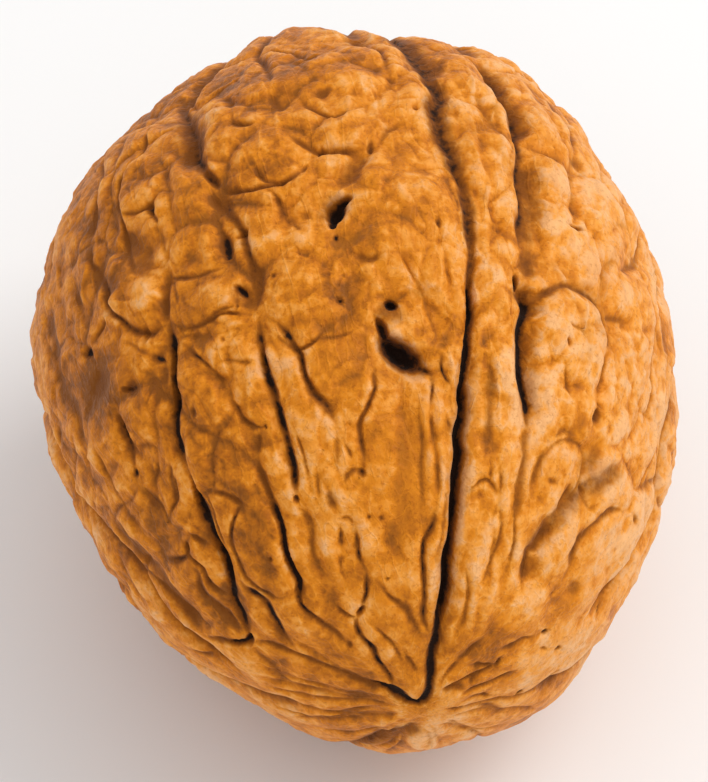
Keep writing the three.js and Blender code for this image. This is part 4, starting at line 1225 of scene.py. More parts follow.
@dataclass
class Relief:
    """What the skin does at each of many points: how far it rises, and how it is coloured."""

    form: ShellForm
    towards: Array
    cracked: CracklePattern = field(default_factory=CracklePattern)
    woody: WoodyPattern = field(default_factory=WoodyPattern)
    box_size: float = 1.5
    stretch: int = 10
    slimness: float = 0.82
    shallowness: float = 0.80
    valley_depth: float = 0.80
    shoulder: float = 0.30
    shoulder_width: float = 2.6
    # How dark a groove's shoulders are painted: partly the groove's own brown, partly painted shade.
    shoulder_stain_and_shade: float = 0.30
    halo_width: float = 1.15
    halo_power: float = 2.4
    finest: float = 0.110
    darkness: float = 1.20
    least_depth: float = 0.20
    end_length: float = 1.3
    end_fullness: float = 0.3
    end_slimness: float = 0.45
    waviness: float = 0.15
    wave_size: float = 1.7
    raggedness: float = 0.030
    rag_size: float = 0.5
    unevenness: float = 0.30
    uneven_size: float = 1.3
    end_calm: float = 0.30
    plate_rise: float = 1.45
    plate_power: float = 1.9
    skin: Array = field(init=False)
    ragged: Array = field(init=False)
    breadth: Array = field(init=False)
    calm: Array = field(init=False)
    boxes: dict[int, Array] = field(init=False)

    def __post_init__(self) -> None:
        """Finds the smooth skin, and pushes it about so that drawn lines come out ragged."""
        self.skin = self.form.surface(self.towards)
        push = [
            self.waviness * Grain(seed).smooth(self.skin, self.wave_size)
            + self.raggedness * Grain(seed + 9).layered(self.skin, self.rag_size, 2)
            for seed in (1, 2, 3)
        ]
        self.ragged = self.skin + np.stack(push, axis=1)
        self.breadth = 1.0 + self.unevenness * Grain(4).smooth(self.skin, self.uneven_size)
        from_end = smoothstep(1.0 - np.abs(self.towards[:, 1]), 0.03, 0.32)
        self.calm = self.end_calm + (1.0 - self.end_calm) * from_end
        self._sort()

    def _sort(self) -> None:
        """Sorts the points into small boxes, so that those near a line are found at once."""
        key = self._box_key(np.floor(self.ragged / self.box_size).astype(int))
        order = np.argsort(key, kind="stable")
        keys, starts = np.unique(key[order], return_index=True)
        self.boxes = dict(zip(keys.tolist(), np.split(order, starts[1:])))

    @staticmethod
    def _box_key(box: Array) -> Array:
        """Gives each small box one number of its own."""
        shifted = box + 64
        return (shifted[..., 0] * 128 + shifted[..., 1]) * 128 + shifted[..., 2]

    def _near(self, line: Array, reach: float) -> Array:
        """Finds the points in the boxes that a stretch of line may touch.

        Args:
            line: The stretch's own points, in millimetres.
            reach: How far from the stretch still matters.

        Returns:
            The points' numbers.
        """
        low = np.floor((line.min(axis=0) - reach) / self.box_size).astype(int)
        high = np.floor((line.max(axis=0) + reach) / self.box_size).astype(int)
        sides = [np.arange(start, stop + 1) for start, stop in zip(low, high)]
        steps = np.stack(np.meshgrid(*sides, indexing="ij"), axis=-1)
        found = [self.boxes[key] for key in self._box_key(steps).ravel().tolist() if key in self.boxes]
        return np.concatenate(found) if found else np.zeros(0, dtype=int)

    def _measure(self, line: Array, reach: float) -> tuple[Array, Array, Array]:
        """Measures points against a line.

        Args:
            line: The line's own points, in millimetres.
            reach: How far from the line still matters.

        Returns:
            Which points are within reach, how far each is from the line, and how full the
            line is there, from the ends' fullness to 1.
        """
        run = np.concatenate([[0.0], np.cumsum(np.linalg.norm(np.diff(line, axis=0), axis=1))])
        best = np.full(len(self.ragged), reach * reach)
        where = np.zeros(len(self.ragged))
        for first in range(0, len(line) - 1, self.stretch):
            piece = line[first : first + self.stretch + 1]
            near = self._near(piece, reach)
            sides = np.diff(piece, axis=0)
            offset = self.ragged[near][:, None] - piece[:-1]
            share = np.einsum("nmi,mi->nm", offset, sides) / np.maximum((sides**2).sum(axis=1), 1e-9)
            share = np.clip(share, 0.0, 1.0)
            gaps = ((offset - share[:, :, None] * sides) ** 2).sum(axis=2)
            nearest = gaps.argmin(axis=1)
            row = np.arange(len(near))
            gap = gaps[row, nearest]
            closer = gap < best[near]
            best[near[closer]] = gap[closer]
            along = run[first + nearest] + share[row, nearest] * np.diff(run)[first + nearest]
            where[near[closer]] = along[closer]
        kept = np.flatnonzero(best < reach * reach)
        from_end = np.minimum(where[kept], run[-1] - where[kept])
        fade = min(self.end_length, run[-1] / 3 + 0.05)
        full = self.end_fullness + (1.0 - self.end_fullness) * smoothstep(from_end, 0.0, fade)
        return kept, np.sqrt(best[kept]), full

    def cut(self, grooves: Iterable[Groove]) -> tuple[Array, Array]:
        """Sinks grooves.

        Args:
            grooves: The grooves to cut. Where two meet, the deeper one is kept.

        Returns:
            How far each point sinks, in millimetres, and how dark it is painted, from 0 to 1: partly the
            groove's own brown, partly painted shade in and beside it.
        """
        narrow = np.zeros(len(self.skin))
        broad = np.zeros(len(self.skin))
        stain_and_shade = np.zeros(len(self.skin))
        for groove in grooves:
            line = smooth_path(self.form, groove.path)
            slim = 1.0 if groove.cut is Cut.VALLEY else self.slimness
            near, gap, taper = self._measure(line, 4.5 * slim * groove.width)
            narrowing = 1.0 - self.end_slimness + self.end_slimness * taper
            width = np.maximum(slim * groove.width * self.breadth[near] * narrowing, self.finest)
            shape = np.exp(-((gap / width) ** groove.cut.value))
            shoulder = np.exp(-((gap / (self.shoulder_width * width)) ** 2))
            if groove.cut is Cut.VALLEY:
                broad[near] = np.maximum(broad[near], self.valley_depth * groove.depth * shape * taper)
            else:
                sunk = (1.0 - self.shoulder) * shape + self.shoulder * shoulder
                depth = max(self.least_depth, self.shallowness * groove.depth)
                narrow[near] = np.maximum(narrow[near], depth * sunk * taper)
            # The groove and a halo beside it are painted dark: partly the groove's own brown, partly
            # painted shade.
            halo = np.exp(-((gap / (self.halo_width * width)) ** self.halo_power))
            halo = np.maximum(halo, self.shoulder_stain_and_shade * shoulder)
            dark = min(1.0, self.darkness * groove.dark)
            stain_and_shade[near] = np.maximum(stain_and_shade[near], dark * halo * taper)
        return narrow + broad, stain_and_shade

    def _around(self, place: Place, turn: float = 0.0) -> tuple[Array, Array]:
        """Measures every point from a place, along the meridian there and across it.

        Args:
            place: The place to measure from.
            turn: How far the two directions are turned off the meridian, in degrees.

        Returns:
            Distance along and distance across, in millimetres. Points on the far side are
            given as very far.
        """
        round_, along = math.radians(place[0]), math.radians(place[1])
        flat = math.cos(along)
        down = np.array([flat * math.sin(round_), -math.sin(along), flat * math.cos(round_)])
        across = np.array([math.cos(round_), 0.0, -math.sin(round_)])
        middle = directions([place])
        very_far = 99.0
        offset = self.ragged - self.form.surface(middle)[0]
        offset = offset + very_far * (self.towards @ middle[0] < 0.5)[:, None]
        lean = math.radians(turn)
        first, second = offset @ down, offset @ across
        return (
            first * math.cos(lean) + second * math.sin(lean),
            second * math.cos(lean) - first * math.sin(lean),
        )

    def sink(self, pits: Iterable[Pit]) -> tuple[Array, Array]:
        """Sinks pits.

        Args:
            pits: The pits to sink, each with steep walls and a faint dip around it.

        Returns:
            How far each point drops, in millimetres, and how dark it is painted, from 0 to 1: partly the
            shell's own brown, partly painted shade in the hole.
        """
        depth = np.zeros(len(self.skin))
        stain_and_shade = np.zeros(len(self.skin))
        for pit in pits:
            along, across = self._around(pit.place, pit.turn)
            reach = (along / pit.length) ** 2 + (across / pit.width) ** 2
            walls, dip = np.exp(-(reach**1.8)), np.exp(-(reach / 4))
            depth = np.maximum(depth, pit.depth * (0.85 * walls + 0.15 * dip))
            stain_and_shade = np.maximum(stain_and_shade, pit.dark * np.exp(-((reach / 1.3) ** 1.6)))
        return depth, stain_and_shade

    def lift(self, ribs: Iterable[Rib], plates: Iterable[Plate]) -> Array:
        """Raises ribs and rounded plates.

        Args:
            ribs: The ribs to raise.
            plates: The plates to raise. Where two things meet, the higher one is kept.

        Returns:
            How far each point rises, in millimetres.
        """
        height = np.zeros(len(self.skin))
        for rib in ribs:
            near, gap, taper = self._measure(smooth_path(self.form, rib.path), 2.6 * rib.width)
            shape = rib.height * np.exp(-((gap / rib.width) ** 2)) * taper
            height[near] = np.maximum(height[near], shape)
        for plate in plates:
            along, across = self._around(plate.place)
            reach = (along / (plate.size * plate.stretch)) ** 2 + (across / plate.size) ** 2
            shape = self.plate_rise * plate.height * np.exp(-(reach**self.plate_power))
            height = np.maximum(height, shape)
        return height

    def spots(self, patches: Iterable[Patch]) -> Array:
        """Paints soft-edged patches.

        Args:
            patches: The patches of one colour.

        Returns:
            How strongly they colour each point, from 0 to 1.
        """
        strength = np.zeros(len(self.skin))
        for patch in patches:
            middle = self.form.surface(directions([patch.place]))[0]
            gap = np.linalg.norm(self.ragged - middle, axis=1) / patch.size
            strength = np.maximum(strength, patch.strength * np.exp(-(gap**2.2)))
        return strength

    def _drawn_out(self, pattern: CracklePattern | WoodyPattern, seeds: Sequence[int]) -> Array:
        """Gives coordinates that wander a little and are drawn out from tip to stem.

        Args:
            pattern: Says how far they are drawn out and how they wander.
            seeds: One seed for each of the three coordinates.

        Returns:
            One place for each point, in millimetres.
        """
        drawn = self.form.run_of_grain(self.towards) * np.array([1.0, pattern.squeeze, 1.0])
        sway = [Grain(seed).smooth(self.skin, pattern.wander_size) for seed in seeds]
        return drawn + pattern.wander * np.stack(sway, axis=1)

    def crackle(self) -> tuple[Array, Array]:
        """Breaks the skin between the grooves into small uneven plates.

        Returns:
            How far each point rises, in millimetres, and how dark its wrinkle is painted: partly the
            wrinkle's own brown, partly painted shade in it.
        """
        look = self.cracked
        grain = self._drawn_out(look, (31, 32, 33))
        strength = smoothstep(Grain(34).smooth(self.skin, look.strength_size), -0.55, 0.45)
        big_edge, big_owner = Grain(35).cells(grain, look.big_size)
        small_edge, small_owner = Grain(36).cells(grain, look.small_size)
        big = np.exp(-((big_edge / look.big_line) ** look.line_power)) * (0.35 + 0.65 * strength)
        small = np.exp(-((small_edge / look.small_line) ** look.line_power)) * (1.0 - 0.5 * strength)
        dome = look.dome_height * smoothstep(big_edge, 0.0, 0.6) + look.big_step * (big_owner - 0.5)
        height = dome - look.big_depth * big - look.small_depth * small
        height = height + look.small_step * (small_owner - 0.5)
        stain_and_shade = np.clip(look.big_stain_and_shade * big + look.small_stain_and_shade * small, 0.0, 1.0)
        return self.calm * height, self.calm * stain_and_shade

    def texture(self) -> tuple[Array, Array]:
        """Shapes the skin's own unevenness: soft lumps, raised veins and sunk creases.

        Returns:
            How far each point rises, in millimetres, and how dark its crease is painted: partly the
            crease's own brown, partly painted shade in it.
        """
        look = self.woody
        strands = self._drawn_out(look, (51, 52, 53))
        strength = smoothstep(Grain(46).smooth(self.skin, look.strength_size), -0.6, 0.5)
        lumps = look.lump_height * Grain(41).layered(self.skin, look.lump_size, 2)
        folds = look.fold_height * Grain(42).layered(strands, look.fold_size, 2)
        veins = np.exp(-((Grain(45).smooth(strands, look.vein_size) / look.vein_line) ** 2))
        veins = veins * (0.25 + 0.75 * strength)
        creases = np.exp(-((Grain(43).smooth(strands, look.crease_size) / look.crease_line) ** 2))
        creases = creases * (1.0 - 0.65 * strength)
        height = lumps + self.calm * (folds + look.vein_height * veins - look.crease_depth * creases)
        return height, look.crease_stain_and_shade * self.calm * creases


@dataclass
class WrinkledShell:
    """The nut's one piece: a closed shell, wrinkled all over, resting on a small flat spot."""

    name: str = "walnut_shell"
    form: ShellForm = field(default_factory=ShellForm)
    start_width: float = 30.0
    fine_levels: int = 8
    triangles: int = 192_000
    rest_clearance: float = 0.02
    smoothing_rounds: int = 46
    edge_rounds: int = 5
    full_proud: float = 0.35
    full_edge: float = 0.08
    crowding: float = 0.30
    finest_side: tuple[float, float, float] = (-0.26, 0.65, 0.72)

    def _cube(self) -> bpy.types.Object:
        """Adds a cube at the nut's middle and splits each side into a fine grid.

        Returns:
            The piece, still a cube.
        """
        bpy.ops.object.select_all(action="DESELECT")
        middle = tuple(MM * value for value in self.form.centre)
        bpy.ops.mesh.primitive_cube_add(size=self.start_width * MM, location=middle)
        piece = bpy.context.active_object
        piece.name = self.name
        piece.data.name = self.name
        bpy.ops.object.transform_apply(location=True, rotation=True, scale=True)
        split = piece.modifiers.new("fine grid", "SUBSURF")
        split.subdivision_type = "SIMPLE"
        split.levels = self.fine_levels
        split.render_levels = self.fine_levels
        bpy.ops.object.modifier_apply(modifier=split.name)
        return piece

    def _own_axes(self, points: Array) -> Array:
        """Moves points from the shared frame into the nut's own axes.

        Args:
            points: Places in the shared frame, in metres.

        Returns:
            The same places in the nut's own axes, in millimetres.
        """
        lean = math.radians(self.form.seam_lean)
        offset = points / MM - np.array(self.form.centre)
        across = offset[:, 0] * math.cos(lean) - offset[:, 2] * math.sin(lean)
        seam = offset[:, 0] * math.sin(lean) + offset[:, 2] * math.cos(lean)
        return np.stack([across, -offset[:, 1], seam], axis=1)

    @staticmethod
    def _points(mesh: bpy.types.Mesh) -> Array:
        """Reads a mesh's vertices.

        Args:
            mesh: The mesh to read.

        Returns:
            Its vertices' places, in metres, one a row.
        """
        flat = np.empty(3 * len(mesh.vertices))
        mesh.vertices.foreach_get("co", flat)
        return flat.reshape(-1, 3)

    def _spread(self, points: Array) -> Array:
        """Evens the cube's grid out over a ball, and crowds it where the detail is finest.

        Args:
            points: The cube's vertices, in metres.

        Returns:
            A unit vector in the nut's own axes for each vertex.
        """
        own = self._own_axes(points)
        own = own / np.abs(own).max(axis=1)[:, None]
        bent = np.tan(own * (math.pi / 4))
        even = bent / np.linalg.norm(bent, axis=1)[:, None]
        crowded = even + self.crowding * np.array(self.finest_side)
        return crowded / np.linalg.norm(crowded, axis=1)[:, None]

    def _grooves(self) -> list[Groove]:
        """Gathers every groove of the shell."""
        drawn = [*SEAMS, *RIGHT_GROOVES, *SEAM_SIDE_GROOVES, *LEFT_GROOVES, *TOP_GROOVES]
        return [*drawn, *far_grooves(), *end_wrinkles()]

    def _height(self, relief: Relief) -> Array:
        """Adds up all that raises and sinks the skin.

        Args:
            relief: The relief at the shell's vertices.

        Returns:
            How far each vertex stands from the smooth form, in millimetres.
        """
        depth, _ = relief.cut(self._grooves())
        holes, _ = relief.sink(PITS)
        crackle, _ = relief.crackle()
        texture, _ = relief.texture()
        bumps = (crackle + texture) * (1.0 - 0.8 * smoothstep(depth, 0.06, 0.32))
        return relief.lift(RIBS, PLATES) + bumps - np.maximum(depth, holes)

    def _settle(self, points: Array) -> Array:
        """Flattens the few bumps that the nut rests on, so that it stands on the floor.

        Args:
            points: The shell's vertices, in metres.

        Returns:
            The vertices with the lowest ones at floor level, and a smooth change above them.
        """
        settled = points.copy()
        low = self.rest_clearance * MM
        high = 3 * low
        below = settled[:, 2] < low
        settled[below, 2] = 0.0
        near = (settled[:, 2] >= low) & (settled[:, 2] < high)
        settled[near, 2] = (settled[near, 2] - low) * high / (high - low)
        return settled

    def _thin(self, piece: bpy.types.Object) -> None:
        """Takes away the vertices that flat stretches don't need.

        Args:
            piece: The piece to thin out.
        """
        bpy.ops.object.select_all(action="DESELECT")
        piece.select_set(True)
        bpy.context.view_layer.objects.active = piece
        faces = 2 * len(piece.data.polygons)
        thin = piece.modifiers.new("thin out", "DECIMATE")
        thin.ratio = self.triangles / faces
        thin.use_collapse_triangulate = True
        bpy.ops.object.modifier_apply(modifier=thin.name)

    def _relaxed(self, mesh: bpy.types.Mesh, values: Array, rounds: int) -> Array:
        """Averages a value over each vertex's neighbours, several times over.

        Args:
            mesh: The mesh whose edges say which vertices are neighbours.
            values: One value for each vertex.
            rounds: How many times it is done.

        Returns:
            The smoothed values.
        """
        ends = np.empty(2 * len(mesh.edges), dtype=np.int64)
        mesh.edges.foreach_get("vertices", ends)
        first, second = ends.reshape(-1, 2).T
        count = np.bincount(np.concatenate([first, second]), minlength=len(values))
        for _ in range(rounds):
            total = np.bincount(first, values[second], minlength=len(values))
            total += np.bincount(second, values[first], minlength=len(values))
            values = 0.5 * values + 0.5 * total / np.maximum(count, 1)
        return values

    @staticmethod
    def _store(mesh: bpy.types.Mesh, name: str, values: Array) -> None:
        """Keeps a number or a vector for each vertex, for the finish to read.

        Args:
            mesh: The mesh that carries them.
            name: The name that the finish asks for.
            values: One number or one vector for each vertex.
        """
        kind, entry = ("FLOAT", "value") if values.ndim == 1 else ("FLOAT_VECTOR", "vector")
        layer = mesh.attributes.new(name, kind, "POINT")
        layer.data.foreach_set(entry, values.astype(np.float32).ravel())

    def _mark(self, mesh: bpy.types.Mesh) -> None:
        """Writes down how sunk, proud and coloured each vertex is, with the painted shade and painted
        highlights that the finish lays on.

        Args:
            mesh: The finished shell.
        """
        own = self._own_axes(self._points(mesh))
        distance = np.linalg.norm(own, axis=1)
        towards = own / distance[:, None]
        relief = Relief(self.form, towards)
        height = distance - self.form.radius(towards)
        proud = height - self._relaxed(mesh, height, self.smoothing_rounds)
        edge = height - self._relaxed(mesh, height, self.edge_rounds)
        _, stain_and_shade = relief.cut(self._grooves())
        _, holes = relief.sink(PITS)
        _, wrinkle = relief.crackle()
        _, crease = relief.texture()
        # How dark the grooves, pits and wrinkles are painted: partly their own brown, partly painted
        # shade.
        self._store(mesh, "sunk", np.maximum.reduce([stain_and_shade, holes, wrinkle, crease]))
        # Height above the smoothed skin: the finish paints raised skin paler and hollows browner, partly
        # their own colour, partly painted light and shade.
        self._store(mesh, "proud", np.clip(proud / self.full_proud, -1.5, 1.5))
        # Fine crests and dips: the finish paints painted highlights on the crests and painted shade in the
        # dips.
        self._store(mesh, "edge", np.clip(edge / self.full_edge, -1.5, 1.5))
        # Brown patches, partly real stains and partly painted shade.
        self._store(mesh, "brown", relief.spots(BROWN_AND_SHADE))
        self._store(mesh, "orange", relief.spots(ORANGE))
        # Pale patches, partly the shell's own paler skin and partly painted light and painted reflection.
        self._store(mesh, "pale", relief.spots(PALE_AND_LIT))
        # Left to right across the nut; the finish uses it for painted shade on the left cheek and painted
        # light on the right.
        self._store(mesh, "side", towards[:, 0])
        self._store(mesh, "run", self.form.run_of_grain(towards))

    def build(self) -> bpy.types.Object:
        """Models the shell.

        Returns:
            The finished piece, with its colours' guides stored on its vertices.
        """
        piece = self._cube()
        mesh = piece.data
        towards = self._spread(self._points(mesh))
        relief = Relief(self.form, towards)
        radius = self.form.radius(towards) + self._height(relief)
        points = self._settle(self.form.to_row(towards * radius[:, None]))
        mesh.vertices.foreach_set("co", points.ravel())
        mesh.update()
        self._thin(piece)
        bpy.ops.object.shade_smooth()
        self._mark(mesh)
        return piece


@dataclass
class Nodes:
    """A short hand for wiring up a material."""

    tree: bpy.types.NodeTree

    def add(self, kind: str, **values: object) -> bpy.types.Node:
        """Adds a node and sets its properties.

        Args:
            kind: The node's type.
            **values: Properties of the node, by name.

        Returns:
            The new node.
        """
        node = self.tree.nodes.new(kind)
        for name, value in values.items():
            setattr(node, name, value)
        return node

    def join(self, source: object, target: bpy.types.NodeSocket) -> None:
        """Links a socket to another, or sets it where a plain value is given.

        Args:
            source: A socket, or a plain value.
            target: The socket that receives it.
        """
        if isinstance(source, bpy.types.NodeSocket):
            self.tree.links.new(source, target)
        else:
            target.default_value = source

    def math(self, operation: str, first: object, second: object = 0.0) -> bpy.types.NodeSocket:
        """Works something out from two values.

        Args:
            operation: What is done with them.
            first: A socket or a number.
            second: A socket or a number.

        Returns:
            The result's socket.
        """
        node = self.add("ShaderNodeMath", operation=operation)
        self.join(first, node.inputs[0])
        self.join(second, node.inputs[1])
        return node.outputs[0]

    def blend(self, mode: str, share: object, under: object, over: object) -> bpy.types.NodeSocket:
        """Blends one colour over another.

        Args:
            mode: How they are blended.
            share: How much of the upper colour shows, from 0 to 1.
            under: The lower colour.
            over: The upper colour.

        Returns:
            The blended colour's socket.
        """
        node = self.add("ShaderNodeMix", data_type="RGBA", blend_type=mode)
        self.join(share, node.inputs["Factor"])
        self.join(under, node.inputs[6])
        self.join(over, node.inputs[7])
        return node.outputs[2]

    def noise(
        self, where: bpy.types.NodeSocket, scale: float, detail: float, roughness: float = 0.55
    ) -> bpy.types.NodeSocket:
        """Adds a cloudy pattern.

        Args:
            where: The coordinates that it is laid on.
            scale: Rough number of lumps in one unit of those coordinates.
            detail: How many finer layers it has.
            roughness: How strong the finer layers are.

        Returns:
            The pattern's strength, from 0 to 1 around 0.5.
        """
        node = self.add("ShaderNodeTexNoise")
        self.join(where, node.inputs["Vector"])
        self.join(scale, node.inputs["Scale"])
        self.join(detail, node.inputs["Detail"])
        self.join(roughness, node.inputs["Roughness"])
        return node.outputs["Fac"]

    def guide(self, name: str, output: str = "Fac") -> bpy.types.NodeSocket:
        """Reads a value that is stored on the piece's vertices."""
        return self.add("ShaderNodeAttribute", attribute_name=name).outputs[output]

    def ramp(self, share: object, stops: Sequence[tuple[float, Colour]]) -> bpy.types.NodeSocket:
        """Turns a value into a colour.

        Args:
            share: The value, from 0 to 1.
            stops: Values and the colours that they stand for, in rising order.

        Returns:
            The colour's socket.
        """
        node = self.add("ShaderNodeValToRGB")
        band = node.color_ramp
        while len(band.elements) < len(stops):
            band.elements.new(0.5)
        for element, (position, colour) in zip(band.elements, stops):
            element.position = position
            element.color = (*colour, 1.0)
        self.join(share, node.inputs["Fac"])
        return node.outputs["Color"]

    def span(
        self, value: object, low: float, high: float, to_low: float = 0.0, to_high: float = 1.0
    ) -> bpy.types.NodeSocket:
        """Stretches a range of values smoothly onto another, and stops at its ends.

        Args:
            value: A socket or a number.
            low: The value that becomes to_low.
            high: The value that becomes to_high.
            to_low: The new range's first end.
            to_high: The new range's second end.

        Returns:
            The new value's socket.
        """
        node = self.add("ShaderNodeMapRange", interpolation_type="SMOOTHSTEP")
        self.join(value, node.inputs["Value"])
        ends = {"From Min": low, "From Max": high, "To Min": to_low, "To Max": to_high}
        for name, number in ends.items():
            self.join(number, node.inputs[name])
        return node.outputs["Result"]


@dataclass(frozen=True)
class ShellFinish:
    """Dry woody shell: tan on its ribs, orange-brown between them, with painted shade near black in its
    cracks and painted light and shade worked into its tone.
    """

    name: str = "dry_shell"
    # Painted shade: the near black laid into the deepest cracks and pits.
    crack_shadow: Colour = (0.016, 0.0050, 0.0015)
    # Brown of groove floors and their edges: partly their own colour, partly painted shade.
    groove: Colour = (0.185, 0.050, 0.0020)
    brown: Colour = (0.250, 0.074, 0.0030)
    amber: Colour = (0.480, 0.140, 0.0030)
    orange: Colour = (0.700, 0.222, 0.0060)
    honey: Colour = (0.840, 0.330, 0.0460)
    tan: Colour = (0.860, 0.440, 0.1700)
    ridge_roughness: float = 0.50
    groove_roughness: float = 0.78
    specular: float = 0.14
    sheen: float = 0.05
    sheen_roughness: float = 0.5
    streak_tint: Colour = (0.66, 0.50, 0.36)
    grit_tint: Colour = (0.55, 0.44, 0.34)
    cloud_scale: float = 260.0
    mottle_scale: float = 1100.0
    grit_scale: float = 5200.0
    flake_scale: float = 1300.0
    waver_scale: float = 2100.0
    pore_scale: float = 2000.0
    streak_scale: float = 3.4
    vein_scale: float = 1.15
    strand_squeeze: float = 0.22
    grain_strength: float = 0.8
    grain_height: float = 0.075
    # Tone shares: fine crests painted paler and fine dips darker as painted highlight and shade; the pale
    # and brown patches are partly the shell's own colour, partly painted light and shade.
    tone_shares: tuple[tuple[str, float], ...] = (("edge", 0.22), ("pale", 0.34), ("brown", -0.52))

    def _tone(self, nodes: Nodes, where: bpy.types.NodeSocket) -> bpy.types.NodeSocket:
        """Works out how pale the skin is before the grooves are darkened, with painted light and shade in
        it.

        Args:
            nodes: The material's wiring.
            where: The piece's own coordinates.

        Returns:
            A value that is 0 where the skin is brown and 1 where it is tan.
        """
        cloudy = nodes.noise(where, self.cloud_scale, 3.0)
        mottled = nodes.noise(where, self.mottle_scale, 3.0, 0.6)
        # Painted light and shade, partly the shell's own colour: raised skin paler, hollows browner.
        tone = nodes.math("MULTIPLY", nodes.guide("proud"), 0.24)
        tone = nodes.math("ADD", tone, nodes.span(cloudy, 0.34, 0.66, 0.26, 0.64))
        tone = nodes.math("ADD", tone, nodes.span(mottled, 0.36, 0.64, -0.14, 0.14))
        # Painted shade and light: the left cheek is painted darker and the right cheek paler, as the key
        # light falls from the right.
        tone = nodes.math("ADD", tone, nodes.span(nodes.guide("side"), -0.9, 0.9, -0.15, 0.15))
        for guide, share in self.tone_shares:
            tone = nodes.math("ADD", tone, nodes.math("MULTIPLY", nodes.guide(guide), share))
        return tone

    @staticmethod
    def _line(nodes: Nodes, pattern: bpy.types.NodeSocket, breadth: float) -> bpy.types.NodeSocket:
        """Draws thin wandering lines where a cloudy pattern crosses its middle value."""
        away = nodes.math("ABSOLUTE", nodes.math("SUBTRACT", pattern, 0.5))
        return nodes.span(away, 0.0, breadth, 1.0, 0.0)

    def material(self) -> bpy.types.Material:
        """Builds the finish.

        Returns:
            A node material that reads Object coordinates and the piece's own guides.
        """
        material = bpy.data.materials.new(self.name)
        material.use_nodes = True
        nodes = Nodes(material.node_tree)
        shader = material.node_tree.nodes["Principled BSDF"]
        where = nodes.add("ShaderNodeTexCoord").outputs["Object"]
        run = nodes.guide("run", "Vector")
        stretched = nodes.add("ShaderNodeMapping")
        nodes.join(run, stretched.inputs["Vector"])
        stretched.inputs["Scale"].default_value = (1.0, self.strand_squeeze, 1.0)
        strand = stretched.outputs["Vector"]
        streaks = nodes.noise(strand, self.streak_scale, 4.0, 0.6)
        grit = nodes.noise(where, self.grit_scale, 3.0, 0.65)
        vein = self._line(nodes, nodes.noise(strand, self.vein_scale, 1.0, 0.5), 0.055)
        flake = self._line(nodes, nodes.noise(where, self.flake_scale, 1.0, 0.5), 0.050)

        tone = self._tone(nodes, where)
        tone = nodes.math("ADD", tone, nodes.math("MULTIPLY", vein, 0.10))
        tone = nodes.math("ADD", tone, nodes.math("MULTIPLY", flake, 0.07))
        stops = (
            (0.0, self.brown),
            (0.26, self.amber),
            (0.50, self.orange),
            (0.72, self.honey),
            (1.0, self.tan),
        )
        skin = nodes.ramp(tone, stops)
        warm = nodes.math("MULTIPLY", nodes.guide("orange"), 0.60)
        skin = nodes.blend("MIX", warm, skin, (*self.orange, 1.0))
        streaked = nodes.span(streaks, 0.42, 0.70, 0.0, 0.30)
        skin = nodes.blend("MULTIPLY", streaked, skin, (*self.streak_tint, 1.0))
        gritty = nodes.span(grit, 0.52, 0.72, 0.0, 0.50)
        skin = nodes.blend("MULTIPLY", gritty, skin, (*self.grit_tint, 1.0))

        wavering = nodes.noise(where, self.waver_scale, 3.0)
        wavering = nodes.span(wavering, 0.25, 0.75, -0.16, 0.16)
        sunk = nodes.guide("sunk")
        uneven = nodes.math("MULTIPLY", nodes.math("ADD", wavering, 1.0), sunk)
        # Grooves, pits and wrinkles are painted brown, partly their own colour and partly painted shade;
        # the deepest are painted near black as painted shade.
        skin = nodes.blend("MIX", nodes.span(uneven, 0.10, 0.74), skin, (*self.groove, 1.0))
        skin = nodes.blend("MIX", nodes.span(uneven, 0.60, 0.86), skin, (*self.crack_shadow, 1.0))
        nodes.join(skin, shader.inputs["Base Color"])

        rough = nodes.span(uneven, 0.0, 0.8, self.ridge_roughness, self.groove_roughness)
        rough = nodes.math("ADD", rough, nodes.span(grit, 0.3, 0.7, -0.07, 0.07))
        nodes.join(rough, shader.inputs["Roughness"])
        shader.inputs["Specular IOR Level"].default_value = self.specular
        shader.inputs["Sheen Weight"].default_value = self.sheen
        shader.inputs["Sheen Roughness"].default_value = self.sheen_roughness

        bump = nodes.add("ShaderNodeBump")
        bump.inputs["Strength"].default_value = self.grain_strength
        bump.inputs["Distance"].default_value = self.grain_height * MM
        relief = nodes.math("ADD", nodes.math("MULTIPLY", grit, 0.5), nodes.math("MULTIPLY", streaks, 0.8))
        relief = nodes.math("ADD", relief, nodes.noise(where, self.pore_scale, 4.0, 0.6))
        relief = nodes.math("ADD", relief, nodes.math("MULTIPLY", vein, 0.35))
        relief = nodes.math("ADD", relief, nodes.math("MULTIPLY", flake, 0.22))
        nodes.join(relief, bump.inputs["Height"])
        nodes.join(bump.outputs["Normal"], shader.inputs["Normal"])
        return material


@dataclass(frozen=True)
class FloorFinish:
    """Matt white board."""

    name: str = "white_board"
    colour: Colour = (0.88, 0.88, 0.88)
    specular: float = 0.2

    def material(self) -> bpy.types.Material:
        """Builds the finish.

        Returns:
            A node material with a faint unevenness in its gloss.
        """
        material = bpy.data.materials.new(self.name)
        material.use_nodes = True
        nodes = Nodes(material.node_tree)
        shader = material.node_tree.nodes["Principled BSDF"]
        where = nodes.add("ShaderNodeTexCoord").outputs["Object"]
        shader.inputs["Base Color"].default_value = (*self.colour, 1.0)
        rough = nodes.span(nodes.noise(where, 40.0, 2.0), 0.3, 0.7, 0.82, 0.92)
        nodes.join(rough, shader.inputs["Roughness"])
        shader.inputs["Specular IOR Level"].default_value = self.specular
        return material


